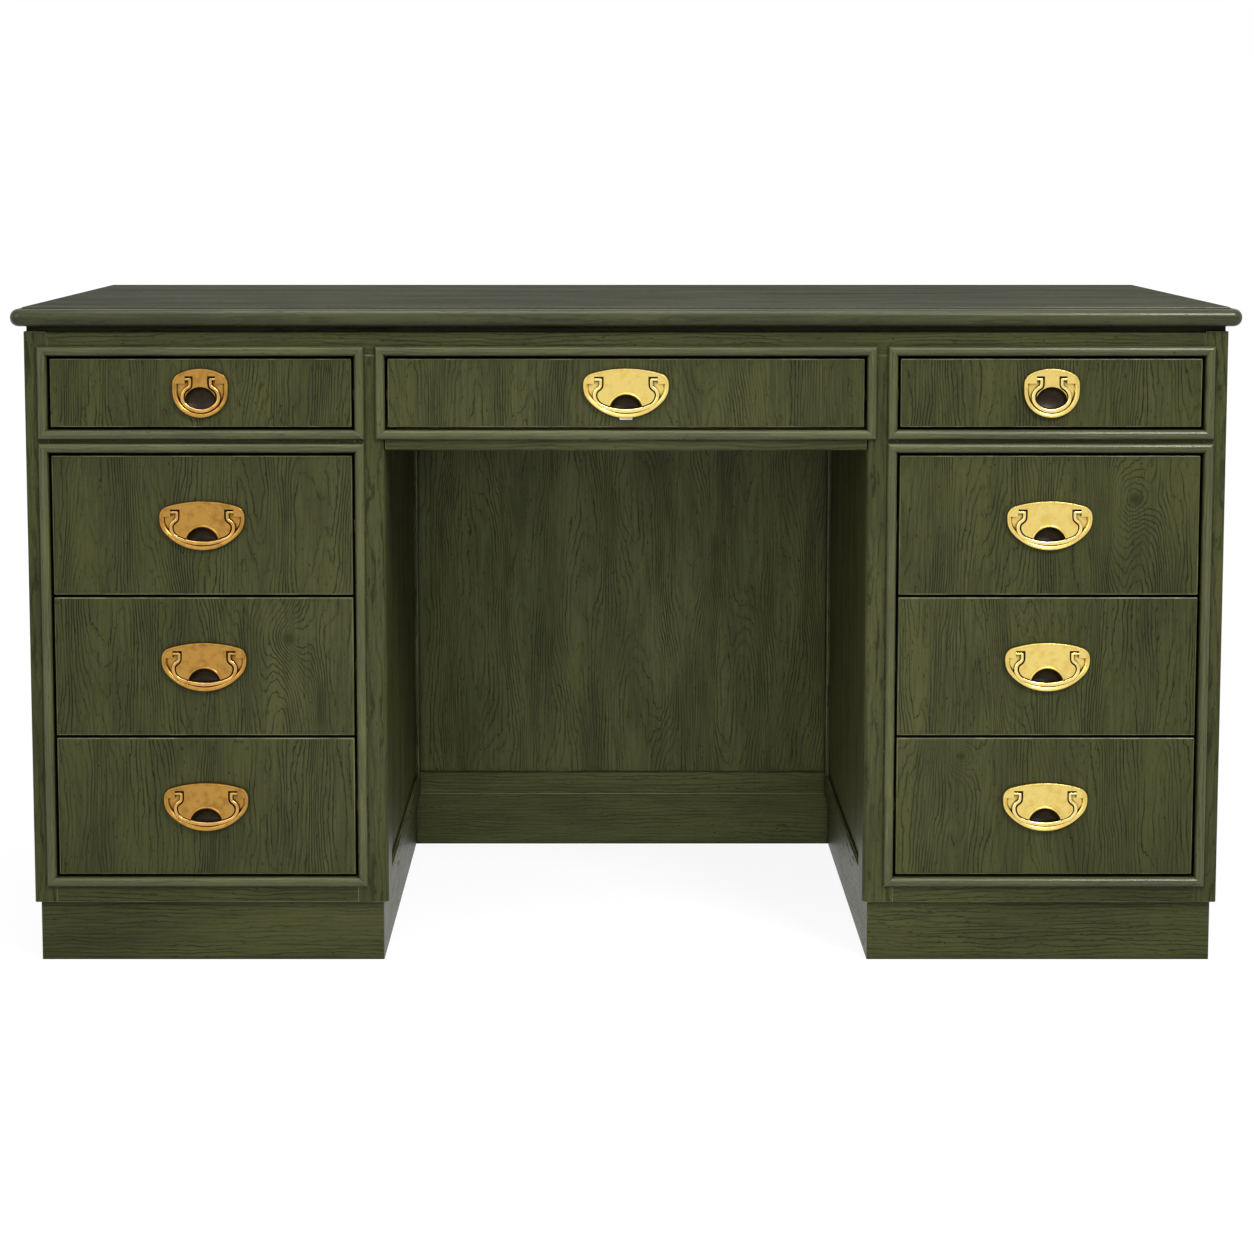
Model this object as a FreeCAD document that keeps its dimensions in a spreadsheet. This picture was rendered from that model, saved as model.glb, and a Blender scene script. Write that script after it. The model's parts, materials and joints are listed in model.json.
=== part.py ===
import FreeCAD, Part
import math
import os

import Sketcher
from FreeCAD import Placement, Rotation, Vector

# A kneehole desk: two pedestals of drawers, one wide drawer over the kneehole, and a bullnosed
# desktop that stands on a recessed neck. Post-and-rail sides hold thin panels in grooves, a mitred
# half-round bead frames each drawer opening, and let-in brass pulls with hinged bails open the drawers.
# X runs from left to right, Y from the front to the back, and Z up from the floor. The origin is on
# the floor under the middle of the desktop. All lengths are in millimetres.

SIZES = {
    # desktop and the neck under it
    "desktop_width": 1400.0,
    "desktop_depth": 590.0,
    "desk_height": 762.0,
    "desktop_thickness": 22.0,
    "desktop_overhang": 14.0,
    "desktop_corner_radius": 12.0,
    "nosing_radius": 9.5,
    "field_height": 2.0,
    "field_setback": 13.0,
    "field_arris": 0.8,
    "neck_height": 6.0,
    "neck_setback": 3.0,
    "neck_strip_width": 45.0,
    # posts, rails and panels
    "pedestal_width": 411.0,
    "outer_post_width": 26.0,
    "inner_post_width": 35.0,
    "post_depth": 50.0,
    "post_arris": 2.5,
    "knee_edge_radius": 6.0,
    "shoulder_radius": 4.0,
    "rail_thickness": 22.0,
    "rail_arris": 2.0,
    "top_rail_margin": 16.5,
    "bottom_rail_margin": 18.5,
    "knee_rail_margin": 12.0,
    "knee_back_rail_thickness": 26.0,
    "panel_thickness": 8.0,
    "panel_recess": 5.0,
    "panel_tongue": 6.0,
    "panel_clearance": 0.2,
    "knee_panel_recess": 4.0,
    "back_panel_recess": 9.0,
    # plinth
    "plinth_height": 70.0,
    "plinth_setback": 6.0,
    "plinth_thickness": 18.0,
    "knee_plinth_setback": 1.5,
    # beads round the drawer openings
    "bead_width": 11.5,
    "bead_height": 6.0,
    "bead_radius": 5.5,
    "bead_spacing": 3.5,
    # shelves and blocks inside the pedestals
    "bottom_board_thickness": 12.0,
    "dust_board_thickness": 8.0,
    "corner_block_leg": 45.0,
    "corner_block_height": 20.0,
    # drawers and their runners
    "top_front_height": 78.5,
    "front_thickness": 19.0,
    "front_gap": 3.0,
    "front_arris": 0.8,
    "box_back_room": 46.0,
    "centre_box_back_room": 81.0,
    "box_side_gap": 4.0,
    "box_headroom": 14.0,
    "box_foot_room": 6.0,
    "box_side_thickness": 13.0,
    "box_bottom_thickness": 6.0,
    "box_bottom_rise": 6.0,
    "box_bottom_tongue": 4.0,
    "runner_height": 12.0,
    "runner_reach": 10.0,
    "runner_start_gap": 4.0,
    "runner_clearance": 0.3,
    "runner_end_clearance": 0.5,
    # pulls: the plate lies on the wood, and a cup behind it makes room for the fingers
    "plate_proud": 5.0,
    "plate_rim_width": 2.4,
    "plate_floor": 0.5,
    "field_drop": 0.6,
    "cup_depth": 10.0,
    "cup_wall": 1.5,
    "cup_clearance": 0.3,
    "finger_rim": 3.4,
    "pull_facet_sag": 0.25,
    "pivot_to_wood": 2.8,
    "bail_width": 4.4,
    "bail_thickness": 3.8,
    "bail_side_gap": 1.1,
    "bail_end_above_pivot": 0.9,
    "bail_facet_sag": 0.5,
    "pivot_radius": 1.1,
    "pivot_length": 3.0,
    "pivot_clearance": 0.08,
    "slot_headroom": 3.5,
    "lip_width": 15.0,
    "lip_drop": 2.6,
    "lip_thickness": 2.0,
}

# The outline of a pull's plate and the line of its bail, for the two patterns of pull. Heights are
# measured from the middle of the plate.
PULLS = {
    "wide": {
        "plate_half_width": 48.7,
        "plate_half_height": 28.0,
        "side_height": 7.5,
        "side_radius": 24.0,
        "shoulder_height": 10.5,
        "shoulder_radius": 12.0,
        "pivot_height": 15.5,
        "neck_half_width": 28.8,
        "neck_foot_height": 9.8,
        "neck_bend_radius": 5.0,
        "bail_half_width": 35.8,
        "bail_side_height": -2.0,
        "bail_side_radius": 14.0,
        "bail_foot_height": -20.6,
        "slot_width": 10.7,
        "finger_radius": 19.25,
        "finger_centre_height": -20.75,
    },
    "small": {
        "plate_half_width": 31.5,
        "plate_half_height": 27.9,
        "side_height": 2.0,
        "side_radius": 29.0,
        "shoulder_height": 11.0,
        "shoulder_radius": 12.0,
        "pivot_height": 16.0,
        "neck_half_width": 11.6,
        "neck_foot_height": 10.0,
        "neck_bend_radius": 4.0,
        "bail_half_width": 20.8,
        "bail_side_height": -5.0,
        "bail_side_radius": 12.0,
        "bail_foot_height": -20.6,
        "slot_width": 9.0,
        "finger_radius": 18.9,
        "finger_centre_height": -11.6,
    },
}

BANK_DRAWERS = 3
LEFT, RIGHT = -1, 1

doc = FreeCAD.newDocument("kneehole_desk")
sheet = doc.addObject("Spreadsheet::Sheet", "Sizes")
rows = dict(SIZES)
for pattern, pull_sizes in PULLS.items():
    for size_name, number in pull_sizes.items():
        rows[f"{pattern}_{size_name}"] = number
for row, (alias, number) in enumerate(rows.items(), 1):
    sheet.set(f"A{row}", alias)
    sheet.set(f"B{row}", str(number))
    sheet.setAlias(f"B{row}", alias)
doc.recompute()


class Size:
    """A length, with the sheet expression that gives it, so that sums and shares of sizes stay bound."""

    def __init__(self, number, text):
        self.number = number
        self.text = text

    def __add__(self, other):
        return Size(self.number + other.number, f"({self.text} + {other.text})")

    def __sub__(self, other):
        return Size(self.number - other.number, f"({self.text} - {other.text})")

    def __mul__(self, share):
        return Size(self.number * share, f"({self.text} * {share})")

    def __truediv__(self, share):
        return Size(self.number / share, f"({self.text} / {share})")

    def __neg__(self):
        return Size(-self.number, f"(-{self.text})")


class SizeNames:
    """Reads a size from the sheet by its alias."""

    def __init__(self, prefix=""):
        self.prefix = prefix

    def __getattr__(self, alias):
        alias = self.prefix + alias
        return Size(float(sheet.get(alias)), f"{sheet.Name}.{alias}")


size = SizeNames()
ZERO = Size(0.0, "0")

# Places that several pieces share, worked out from the sizes.
carcass_half_width = size.desktop_width / 2 - size.desktop_overhang
knee_half_width = carcass_half_width - size.pedestal_width
outer_post_face = carcass_half_width - size.outer_post_width
inner_post_face = knee_half_width + size.inner_post_width
front_face = size.desktop_overhang - size.desktop_depth / 2
back_face = -front_face
carcass_top = size.desk_height - size.desktop_thickness - size.neck_height
top_opening_top = carcass_top - size.top_rail_margin - size.bead_width
top_front_bottom = top_opening_top - size.front_gap - size.top_front_height
top_opening_bottom = top_front_bottom - size.front_gap
bank_opening_top = top_opening_bottom - size.bead_width * 2 - size.bead_spacing
bank_opening_bottom = size.plinth_height + size.bottom_rail_margin + size.bead_width
bank_opening_height = bank_opening_top - bank_opening_bottom
bank_front_height = (bank_opening_height - size.front_gap * (BANK_DRAWERS + 1)) / BANK_DRAWERS
knee_panel_face = back_face - size.knee_back_rail_thickness + size.knee_panel_recess
back_panel_face = back_face - size.back_panel_recess - size.panel_thickness


def bind(thing, name, length):
    thing.setExpression(name, length.text)


def move(thing, **places):
    """Binds the x, y or z of an object's place to sizes."""
    for axis, length in places.items():
        bind(thing, f"Placement.Base.{axis}", length)


def group(label, pieces):
    """One named part of several separate solids."""
    compound = doc.addObject("Part::Compound", label)
    compound.Links = pieces
    return compound


def board(name, low, high):
    """A plain square-edged board between two corners."""
    box = doc.addObject("Part::Box", name)
    for name_of_side, start, end in zip(("Length", "Width", "Height"), low, high):
        bind(box, name_of_side, end - start)
    move(box, x=low[0], y=low[1], z=low[2])
    return box


def across(side, near, far):
    """The low and high x of a span from near to far of the middle, on one side of the desk."""
    return (near, far) if side == RIGHT else (-far, -near)


def origin_plane(body, role):
    return next(f for f in body.Origin.OriginFeatures if f.Role == role)


def new_sketch(body, name, role, offset=ZERO):
    """A sketch on one of the body's own planes, moved along that plane's normal."""
    sketch = body.newObject("Sketcher::SketchObject", name)
    sketch.AttachmentSupport = (origin_plane(body, role), [""])
    sketch.MapMode = "FlatFace"
    bind(sketch, "AttachmentOffset.Base.z", offset)
    return sketch


def polygon_sketch(body, name, role, points, offset=ZERO):
    """A closed outline of straight lines, with each corner held at its own two sizes."""
    sketch = new_sketch(body, name, role, offset)
    count = len(points)
    corners = [Vector(u.number, v.number, 0) for u, v in points]
    for n in range(count):
        sketch.addGeometry(Part.LineSegment(corners[n], corners[(n + 1) % count]), False)
    for n in range(count):
        sketch.addConstraint(Sketcher.Constraint("Coincident", n, 2, (n + 1) % count, 1))
    for n, corner in enumerate(points):
        for kind, length in zip(("DistanceX", "DistanceY"), corner):
            row = sketch.addConstraint(Sketcher.Constraint(kind, -1, 1, n, 1, length.number))
            sketch.setExpression(f"Constraints[{row}]", length.text)
    return sketch


def outline_sketch(body, name, role, points, offset=ZERO, closed=True):
    """An outline of straight runs between points that are already worked out from the sizes."""
    sketch = new_sketch(body, name, role, offset)
    corners = [Vector(u, v, 0) for u, v in points]
    ends = corners[1:] + corners[:1] if closed else corners[1:]
    for start, end in zip(corners, ends):
        sketch.addGeometry(Part.LineSegment(start, end), False)
    return sketch


def circle_sketch(body, name, role, centre, radius, offset=ZERO):
    sketch = new_sketch(body, name, role, offset)
    middle = Vector(centre[0].number, centre[1].number, 0)
    sketch.addGeometry(Part.Circle(middle, Vector(0, 0, 1), radius.number), False)
    row = sketch.addConstraint(Sketcher.Constraint("Radius", 0, radius.number))
    sketch.setExpression(f"Constraints[{row}]", radius.text)
    for kind, length in zip(("DistanceX", "DistanceY"), centre):
        row = sketch.addConstraint(Sketcher.Constraint(kind, -1, 1, 0, 3, length.number))
        sketch.setExpression(f"Constraints[{row}]", length.text)
    return sketch


def extrude(body, kind, sketch, length, backwards=False):
    """A Pad or a Pocket of a sketch. A Pad follows the sketch's normal and a Pocket goes against it."""
    feature = body.newObject(f"PartDesign::{kind}", f"{kind}_{sketch.Name}")
    feature.Profile = sketch
    feature.Reversed = backwards
    bind(feature, "Length", length)
    sketch.Visibility = False
    return feature


def solid_body(name):
    return doc.addObject("PartDesign::Body", name)


def soften(body, kind, amount, *places):
    """Rounds (Fillet) or chamfers (Chamfer) the edges that lie on the given planes of the last feature.
    Each place is a dictionary such as {"x": size, "z": size}."""
    doc.recompute()
    base = body.Tip
    names = []
    for number, edge in enumerate(base.Shape.Edges, 1):
        ends = [edge.valueAt(edge.FirstParameter), edge.valueAt(edge.LastParameter)]
        for place in places:
            if all(
                abs(getattr(end, axis) - length.number) < SNAP
                for end in ends
                for axis, length in place.items()
            ):
                names.append(f"Edge{number}")
    feature = body.newObject(f"PartDesign::{kind}", f"{kind}_{base.Name}")
    feature.Base = (base, sorted(set(names)))
    bind(feature, "Radius" if kind == "Fillet" else "Size", amount)
    return feature


SNAP = 0.001


def block(name, low, high):
    """A board as a body, for those whose edges are worked afterwards."""
    body = solid_body(name)
    corners = [(low[0], low[1]), (high[0], low[1]), (high[0], high[1]), (low[0], high[1])]
    outline = polygon_sketch(body, f"{name}_outline", "XY_Plane", corners)
    extrude(body, "Pad", outline, high[2] - low[2])
    move(body, z=low[2])
    return body


def desktop():
    """The top: a slab with a half-round nosing on all four sides, and a flat field a little above it."""
    body = solid_body("desktop")
    half_width = size.desktop_width / 2
    half_depth = size.desktop_depth / 2
    corners = [
        (-half_width, -half_depth),
        (half_width, -half_depth),
        (half_width, half_depth),
        (-half_width, half_depth),
    ]
    slab = polygon_sketch(body, "slab_outline", "XY_Plane", corners)
    slab_height = size.desktop_thickness - size.field_height
    extrude(body, "Pad", slab, slab_height)
    soften(body, "Fillet", size.desktop_corner_radius, *[{"x": x, "y": y} for x, y in corners])
    soften(body, "Fillet", size.nosing_radius, {"z": ZERO}, {"z": slab_height})
    field_x = half_width - size.field_setback
    field_y = half_depth - size.field_setback
    field = polygon_sketch(
        body,
        "field_outline",
        "XY_Plane",
        [(-field_x, -field_y), (field_x, -field_y), (field_x, field_y), (-field_x, field_y)],
        slab_height,
    )
    extrude(body, "Pad", field, size.field_height)
    soften(body, "Chamfer", size.field_arris, {"z": size.desktop_thickness})
    move(body, z=carcass_top + size.neck_height)
    return body


def neck_frame():
    """Four strips, set in from the carcass, that carry the desktop and leave a shadow line under it."""
    reach_x = carcass_half_width - size.neck_setback
    reach_y = back_face - size.neck_setback
    inner_x = reach_x - size.neck_strip_width
    inner_y = reach_y - size.neck_strip_width
    top = carcass_top + size.neck_height
    strips = [
        board("neck_front", (-reach_x, -reach_y, carcass_top), (reach_x, -inner_y, top)),
        board("neck_back", (-reach_x, inner_y, carcass_top), (reach_x, reach_y, top)),
        board("neck_left", (-reach_x, -inner_y, carcass_top), (-inner_x, inner_y, top)),
        board("neck_right", (inner_x, -inner_y, carcass_top), (reach_x, inner_y, top)),
    ]
    return group("neck_frame", strips)


def front_top_rail():
    """The long rail over all three upper drawers. Its upper edge is rounded towards the neck."""
    body = block(
        "front_top_rail",
        (-outer_post_face, front_face, top_opening_top),
        (outer_post_face, front_face + size.rail_thickness, carcass_top),
    )
    height = carcass_top - top_opening_top
    soften(body, "Fillet", size.shoulder_radius, {"y": front_face, "z": height})
    return body


def grooved_outline(near, far, plain, grooved, groove_near, groove_far, inward):
    """The section of a post or rail, with the groove for a panel's tongue in one face. inward is 1 where
    the groove goes towards a lower number, and -1 where it goes towards a higher one."""
    depth = (size.panel_tongue + size.panel_clearance) * inward
    return [
        (near, plain),
        (far, plain),
        (far, grooved),
        (groove_far, grooved),
        (groove_far, grooved - depth),
        (groove_near, grooved - depth),
        (groove_near, grooved),
        (near, grooved),
    ]


def side_frame(label, side, near, far, show_face, front_post_top):
    """Two posts and two rails round the panel of one pedestal wall. show_face is the x, on the right
    side, of the face that is seen, from which the panel is set in."""
    if show_face is near:
        panel_near = near + size.panel_recess
    else:
        panel_near = far - size.panel_recess - size.panel_thickness
    groove_near = panel_near - size.panel_clearance
    groove_far = panel_near + size.panel_thickness + size.panel_clearance
    front_inside = front_face + size.post_depth
    back_inside = back_face - size.post_depth

    def mirrored(points):
        return [(u * side, v) for u, v in points]

    pieces = []
    posts = {
        "front_post": (front_face, front_inside, 1, front_post_top),
        "back_post": (back_face, back_inside, -1, front_post_top),
    }
    for name, (plain, grooved, inward, top) in posts.items():
        body = solid_body(f"{label}_{name}")
        outline = mirrored(grooved_outline(near, far, plain, grooved, groove_near, groove_far, inward))
        section = polygon_sketch(body, f"{label}_{name}_section", "XY_Plane", outline)
        height = top - size.plinth_height
        extrude(body, "Pad", section, height)
        knee_edge = show_face is near and name == "front_post"
        radius = size.knee_edge_radius if knee_edge else size.post_arris
        soften(body, "Fillet", radius, {"x": show_face * side, "y": plain})
        move(body, z=size.plinth_height)
        pieces.append(body)
    rails = {
        "top_rail": (carcass_top, top_opening_top, -1),
        "bottom_rail": (size.plinth_height, bank_opening_bottom, 1),
    }
    for name, (plain, grooved, inward) in rails.items():
        body = solid_body(f"{label}_{name}")
        outline = mirrored(grooved_outline(near, far, plain, grooved, groove_near, groove_far, inward))
        section = polygon_sketch(body, f"{label}_{name}_section", "XZ_Plane", outline)
        extrude(body, "Pad", section, back_inside - front_inside)
        soften(body, "Chamfer", size.rail_arris, {"x": show_face * side, "z": grooved})
        move(body, y=back_inside)
        pieces.append(body)
    return group(label, pieces)


def side_panels(label, side):
    """The thin panels in the outer and the kneehole wall of one pedestal, with their tongues."""
    front = front_face + size.post_depth - size.panel_tongue
    back = -front
    bottom = bank_opening_bottom - size.panel_tongue
    top = top_opening_top + size.panel_tongue
    spans = {
        "outer": (carcass_half_width - size.panel_recess - size.panel_thickness,
                  carcass_half_width - size.panel_recess),
        "knee": (knee_half_width + size.panel_recess,
                 knee_half_width + size.panel_recess + size.panel_thickness),
    }
    panels = []
    for name, (near, far) in spans.items():
        low_x, high_x = across(side, near, far)
        panels.append(board(f"{label}_{name}", (low_x, front, bottom), (high_x, back, top)))
    return group(label, panels)


def pedestal_rails(label, side):
    """The rail under the lowest drawer and the rail between the top drawer and the three below it."""
    low_x, high_x = across(side, inner_post_face, outer_post_face)
    behind = front_face + size.rail_thickness
    spans = {
        "bottom_rail": (size.plinth_height, bank_opening_bottom),
        "dividing_rail": (bank_opening_top, top_opening_bottom),
    }
    rails = [
        board(f"{label}_{name}", (low_x, front_face, low), (high_x, behind, high))
        for name, (low, high) in spans.items()
    ]
    return group(label, rails)


def knee_rail():
    """The rail under the wide drawer, rounded along its lower edge."""
    bottom = top_opening_bottom - size.bead_width - size.knee_rail_margin
    body = block(
        "knee_rail",
        (-knee_half_width, front_face, bottom),
        (knee_half_width, front_face + size.rail_thickness, top_opening_bottom),
    )
    soften(body, "Fillet", size.rail_arris, {"y": front_face, "z": ZERO})
    return body


def back_rails():
    """The long rail along the top of the back, a bottom rail behind each pedestal, and a thicker one at
    the foot of the modesty panel, whose upper front edge is rounded."""
    front_of_rail = back_face - size.rail_thickness
    rails = [
        board(
            "back_top_rail",
            (-outer_post_face, front_of_rail, top_opening_top),
            (outer_post_face, back_face, carcass_top),
        )
    ]
    for name, side in (("left", LEFT), ("right", RIGHT)):
        low_x, high_x = across(side, inner_post_face, outer_post_face)
        low = (low_x, front_of_rail, size.plinth_height)
        high = (high_x, back_face, bank_opening_bottom)
        rails.append(board(f"{name}_back_bottom_rail", low, high))
    front_of_foot = back_face - size.knee_back_rail_thickness
    foot_rail = block(
        "knee_back_rail",
        (-knee_half_width, front_of_foot, size.plinth_height),
        (knee_half_width, back_face, bank_opening_bottom),
    )
    height = bank_opening_bottom - size.plinth_height
    soften(foot_rail, "Fillet", size.rail_arris, {"y": front_of_foot, "z": height})
    rails.append(foot_rail)
    return group("back_rails", rails)


def pedestal_backs():
    """The thin back of each pedestal, between its back posts."""
    panels = []
    for name, side in (("left", LEFT), ("right", RIGHT)):
        low_x, high_x = across(side, inner_post_face, outer_post_face)
        low = (low_x, back_panel_face, bank_opening_bottom)
        high = (high_x, back_panel_face + size.panel_thickness, top_opening_top)
        panels.append(board(f"{name}_back_panel", low, high))
    return group("pedestal_backs", panels)


def knee_back():
    """The modesty panel of the kneehole."""
    low = (-knee_half_width, knee_panel_face, bank_opening_bottom)
    high = (knee_half_width, knee_panel_face + size.panel_thickness, top_opening_top)
    return board("knee_back_panel", low, high)


def pedestal_plinth(label, side):
    """Four mitred boards that carry one pedestal, set in from its faces."""
    low_x, high_x = across(
        side, knee_half_width + size.plinth_setback, carcass_half_width - size.plinth_setback
    )
    low_y = front_face + size.plinth_setback
    high_y = back_face - size.plinth_setback
    inner = size.plinth_thickness
    outside = [(low_x, low_y), (high_x, low_y), (high_x, high_y), (low_x, high_y)]
    inside = [
        (low_x + inner, low_y + inner),
        (high_x - inner, low_y + inner),
        (high_x - inner, high_y - inner),
        (low_x + inner, high_y - inner),
    ]
    boards = []
    for n, name in enumerate(("front", "right", "back", "left")):
        after = (n + 1) % 4
        body = solid_body(f"{label}_{name}")
        outline = [outside[n], outside[after], inside[after], inside[n]]
        plan = polygon_sketch(body, f"{label}_{name}_plan", "XY_Plane", outline)
        extrude(body, "Pad", plan, size.plinth_height)
        boards.append(body)
    return group(label, boards)


def knee_plinth():
    """The plinth board across the back of the kneehole."""
    half_width = knee_half_width + size.plinth_setback
    front = back_face - size.knee_back_rail_thickness + size.knee_plinth_setback
    low = (-half_width, front, ZERO)
    return board("knee_plinth", low, (half_width, front + size.plinth_thickness, size.plinth_height))


def bead_frame(name, low_x, high_x, low_z, high_z):
    """Four mitred lengths of half-round bead round one drawer opening."""
    width = size.bead_width
    inside = [(low_x, low_z), (high_x, low_z), (high_x, high_z), (low_x, high_z)]
    outside = [
        (low_x - width, low_z - width),
        (high_x + width, low_z - width),
        (high_x + width, high_z + width),
        (low_x - width, high_z + width),
    ]
    strips = []
    for n, edge in enumerate(("bottom", "right", "top", "left")):
        after = (n + 1) % 4
        body = solid_body(f"{name}_{edge}_bead")
        outline = [outside[n], outside[after], inside[after], inside[n]]
        plan = polygon_sketch(body, f"{name}_{edge}_bead_plan", "XZ_Plane", outline)
        extrude(body, "Pad", plan, size.bead_height)
        axis, place = ("z", 1) if edge in ("bottom", "top") else ("x", 0)
        crest = {"y": -size.bead_height}
        long_edges = [{**crest, axis: inside[n][place]}, {**crest, axis: outside[n][place]}]
        soften(body, "Fillet", size.bead_radius, *long_edges)
        move(body, y=front_face)
        strips.append(body)
    return strips


def pedestal_beads(label, side):
    low_x, high_x = across(side, inner_post_face, outer_post_face)
    strips = bead_frame(f"{label}_top", low_x, high_x, top_opening_bottom, top_opening_top)
    strips += bead_frame(f"{label}_bank", low_x, high_x, bank_opening_bottom, bank_opening_top)
    return group(label, strips)


def centre_beads():
    strips = bead_frame(
        "centre", -knee_half_width, knee_half_width, top_opening_bottom, top_opening_top
    )
    return group("centre_beads", strips)


def pedestal_shelves():
    """The bottom board of each pedestal, and the dust board under its top drawer."""
    rail_back = front_face + size.rail_thickness
    dividing_middle = (bank_opening_top + top_opening_bottom) / 2
    half_dust = size.dust_board_thickness / 2
    shelves = []
    for name, side in (("left", LEFT), ("right", RIGHT)):
        low_x, high_x = across(side, inner_post_face, outer_post_face)
        low = (low_x, rail_back, size.plinth_height)
        high = (high_x, -rail_back, size.plinth_height + size.bottom_board_thickness)
        shelves.append(board(f"{name}_bottom_board", low, high))
        low = (low_x, rail_back, dividing_middle - half_dust)
        high = (high_x, back_panel_face, dividing_middle + half_dust)
        shelves.append(board(f"{name}_dust_board", low, high))
    return group("pedestal_shelves", shelves)


def corner_blocks():
    """Three-cornered blocks that tie the rails together under the neck, four to a pedestal."""
    leg = size.corner_block_leg
    behind_rail = front_face + size.rail_thickness
    blocks = []
    for side in (LEFT, RIGHT):
        for face, inward in ((outer_post_face, -1), (inner_post_face, 1)):
            for row, to_middle in ((behind_rail, 1), (-behind_rail, -1)):
                corner = (face * side, row)
                along_x = (face * side + leg * (inward * side), row)
                along_y = (face * side, row + leg * to_middle)
                body = solid_body(f"corner_block_{len(blocks) + 1}")
                plan = polygon_sketch(
                    body, f"{body.Name}_plan", "XY_Plane", [corner, along_x, along_y]
                )
                extrude(body, "Pad", plan, size.corner_block_height)
                move(body, z=carcass_top - size.corner_block_height)
                blocks.append(body)
    return group("corner_blocks", blocks)


def drawer_list():
    """Each drawer's name, middle, opening half width, bottom, height, box depth and pull pattern."""
    drawers = []
    box_start = front_face + size.front_thickness
    box_depth = back_panel_face - size.box_back_room - box_start
    centre_box_depth = knee_panel_face - size.centre_box_back_room - box_start
    pedestal_middle = (outer_post_face + inner_post_face) / 2
    pedestal_half_opening = (outer_post_face - inner_post_face) / 2
    names = ("lower", "middle", "upper")
    for side_name, side in (("left", LEFT), ("right", RIGHT)):
        middle = pedestal_middle * side
        drawers.append((f"{side_name}_top", middle, pedestal_half_opening, top_front_bottom,
                        size.top_front_height, box_depth, "small"))
        for n in range(BANK_DRAWERS):
            bottom = bank_opening_bottom + size.front_gap + (bank_front_height + size.front_gap) * n
            drawers.append((f"{side_name}_{names[n]}", middle, pedestal_half_opening, bottom,
                            bank_front_height, box_depth, "wide"))
    drawers.append(("centre", ZERO, knee_half_width, top_front_bottom, size.top_front_height,
                    centre_box_depth, "wide"))
    return drawers


def runner_height_for(bottom, height):
    """The z of the middle of a drawer's runners: half way up the side of its box."""
    return (bottom + size.box_foot_room + bottom + height - size.box_headroom) / 2


def drawer_runners(drawers):
    """A hardwood strip on each side of every drawer, fixed to the posts, that runs in a groove."""
    start = front_face + size.front_thickness + size.runner_start_gap
    end = back_face - size.post_depth / 2
    runners = []
    for name, middle, half_opening, bottom, height, depth, pattern in drawers:
        centre = runner_height_for(bottom, height)
        low_z, high_z = centre - size.runner_height / 2, centre + size.runner_height / 2
        left = middle - half_opening
        right = middle + half_opening
        reach = size.runner_reach
        runners.append(board(f"{name}_left_runner", (left, start, low_z), (left + reach, end, high_z)))
        runners.append(board(f"{name}_right_runner", (right - reach, start, low_z), (right, end, high_z)))
    return group("drawer_runners", runners)


def drawer_box(name, middle, half_opening, bottom, height, depth):
    """Two grooved sides, a back and a bottom in grooves, fixed behind the front."""
    label = f"{name}_drawer_box"
    half_width = half_opening - size.box_side_gap
    inside = half_width - size.box_side_thickness
    front = front_face + size.front_thickness
    back = front + depth
    low = bottom + size.box_foot_room
    high = bottom + height - size.box_headroom
    panel_low = low + size.box_bottom_rise
    panel_high = panel_low + size.box_bottom_thickness
    runner_middle = runner_height_for(bottom, height)
    groove_reach = half_opening - size.runner_reach - size.runner_end_clearance
    runner_top = runner_middle + size.runner_height / 2 + size.runner_clearance
    runner_foot = runner_middle - size.runner_height / 2 - size.runner_clearance
    pieces = []
    for side_name, side in (("left", LEFT), ("right", RIGHT)):
        body = solid_body(f"{label}_{side_name}_side")
        section = [
            (half_width, low),
            (half_width, runner_foot),
            (groove_reach, runner_foot),
            (groove_reach, runner_top),
            (half_width, runner_top),
            (half_width, high),
            (inside, high),
            (inside, panel_high),
            (inside + size.box_bottom_tongue, panel_high),
            (inside + size.box_bottom_tongue, panel_low),
            (inside, panel_low),
            (inside, low),
        ]
        points = [(u * side, v) for u, v in section]
        outline = polygon_sketch(body, f"{label}_{side_name}_section", "XZ_Plane", points)
        extrude(body, "Pad", outline, depth)
        move(body, x=middle, y=back)
        pieces.append(body)
    back_front = back - size.box_side_thickness
    pieces.append(board(f"{label}_back", (middle - inside, back_front, panel_high),
                        (middle + inside, back, high)))
    tongue_reach = inside + size.box_bottom_tongue
    pieces.append(board(f"{label}_bottom", (middle - tongue_reach, front, panel_low),
                        (middle + tongue_reach, back, panel_high)))
    return group(label, pieces)


def arc_points(centre, radius, start, end, sag):
    """The first and following points of an arc about (x, z), from one angle to another. The straight
    run between two of them strays from the arc by no more than the sag. The end point is left out."""
    steps = math.ceil(abs(end - start) / (2 * math.acos(1 - sag / radius)))
    angles = [start + (end - start) * n / steps for n in range(steps)]
    return [(centre[0] + radius * math.cos(a), centre[1] + radius * math.sin(a)) for a in angles]


def mirrored_outline(right_half):
    """A closed outline from its right half, which runs from the foot to the top."""
    left_half = [(-x, z) for x, z in reversed(right_half) if x > SNAP]
    return right_half + left_half


def quarter_oval(half_width, rise, side_radius):
    """The lower quarter of an oval, half_width wide and rise high, as two tangent arcs: the radius of
    the arc at the foot, and the angle at which the side arc takes over."""
    turn = 2 * math.atan((rise - side_radius) / (half_width - side_radius))
    return side_radius + (half_width - side_radius) / math.sin(turn), turn


DOWN, RIGHTWARDS, UP = -math.pi / 2, 0.0, math.pi / 2


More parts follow.
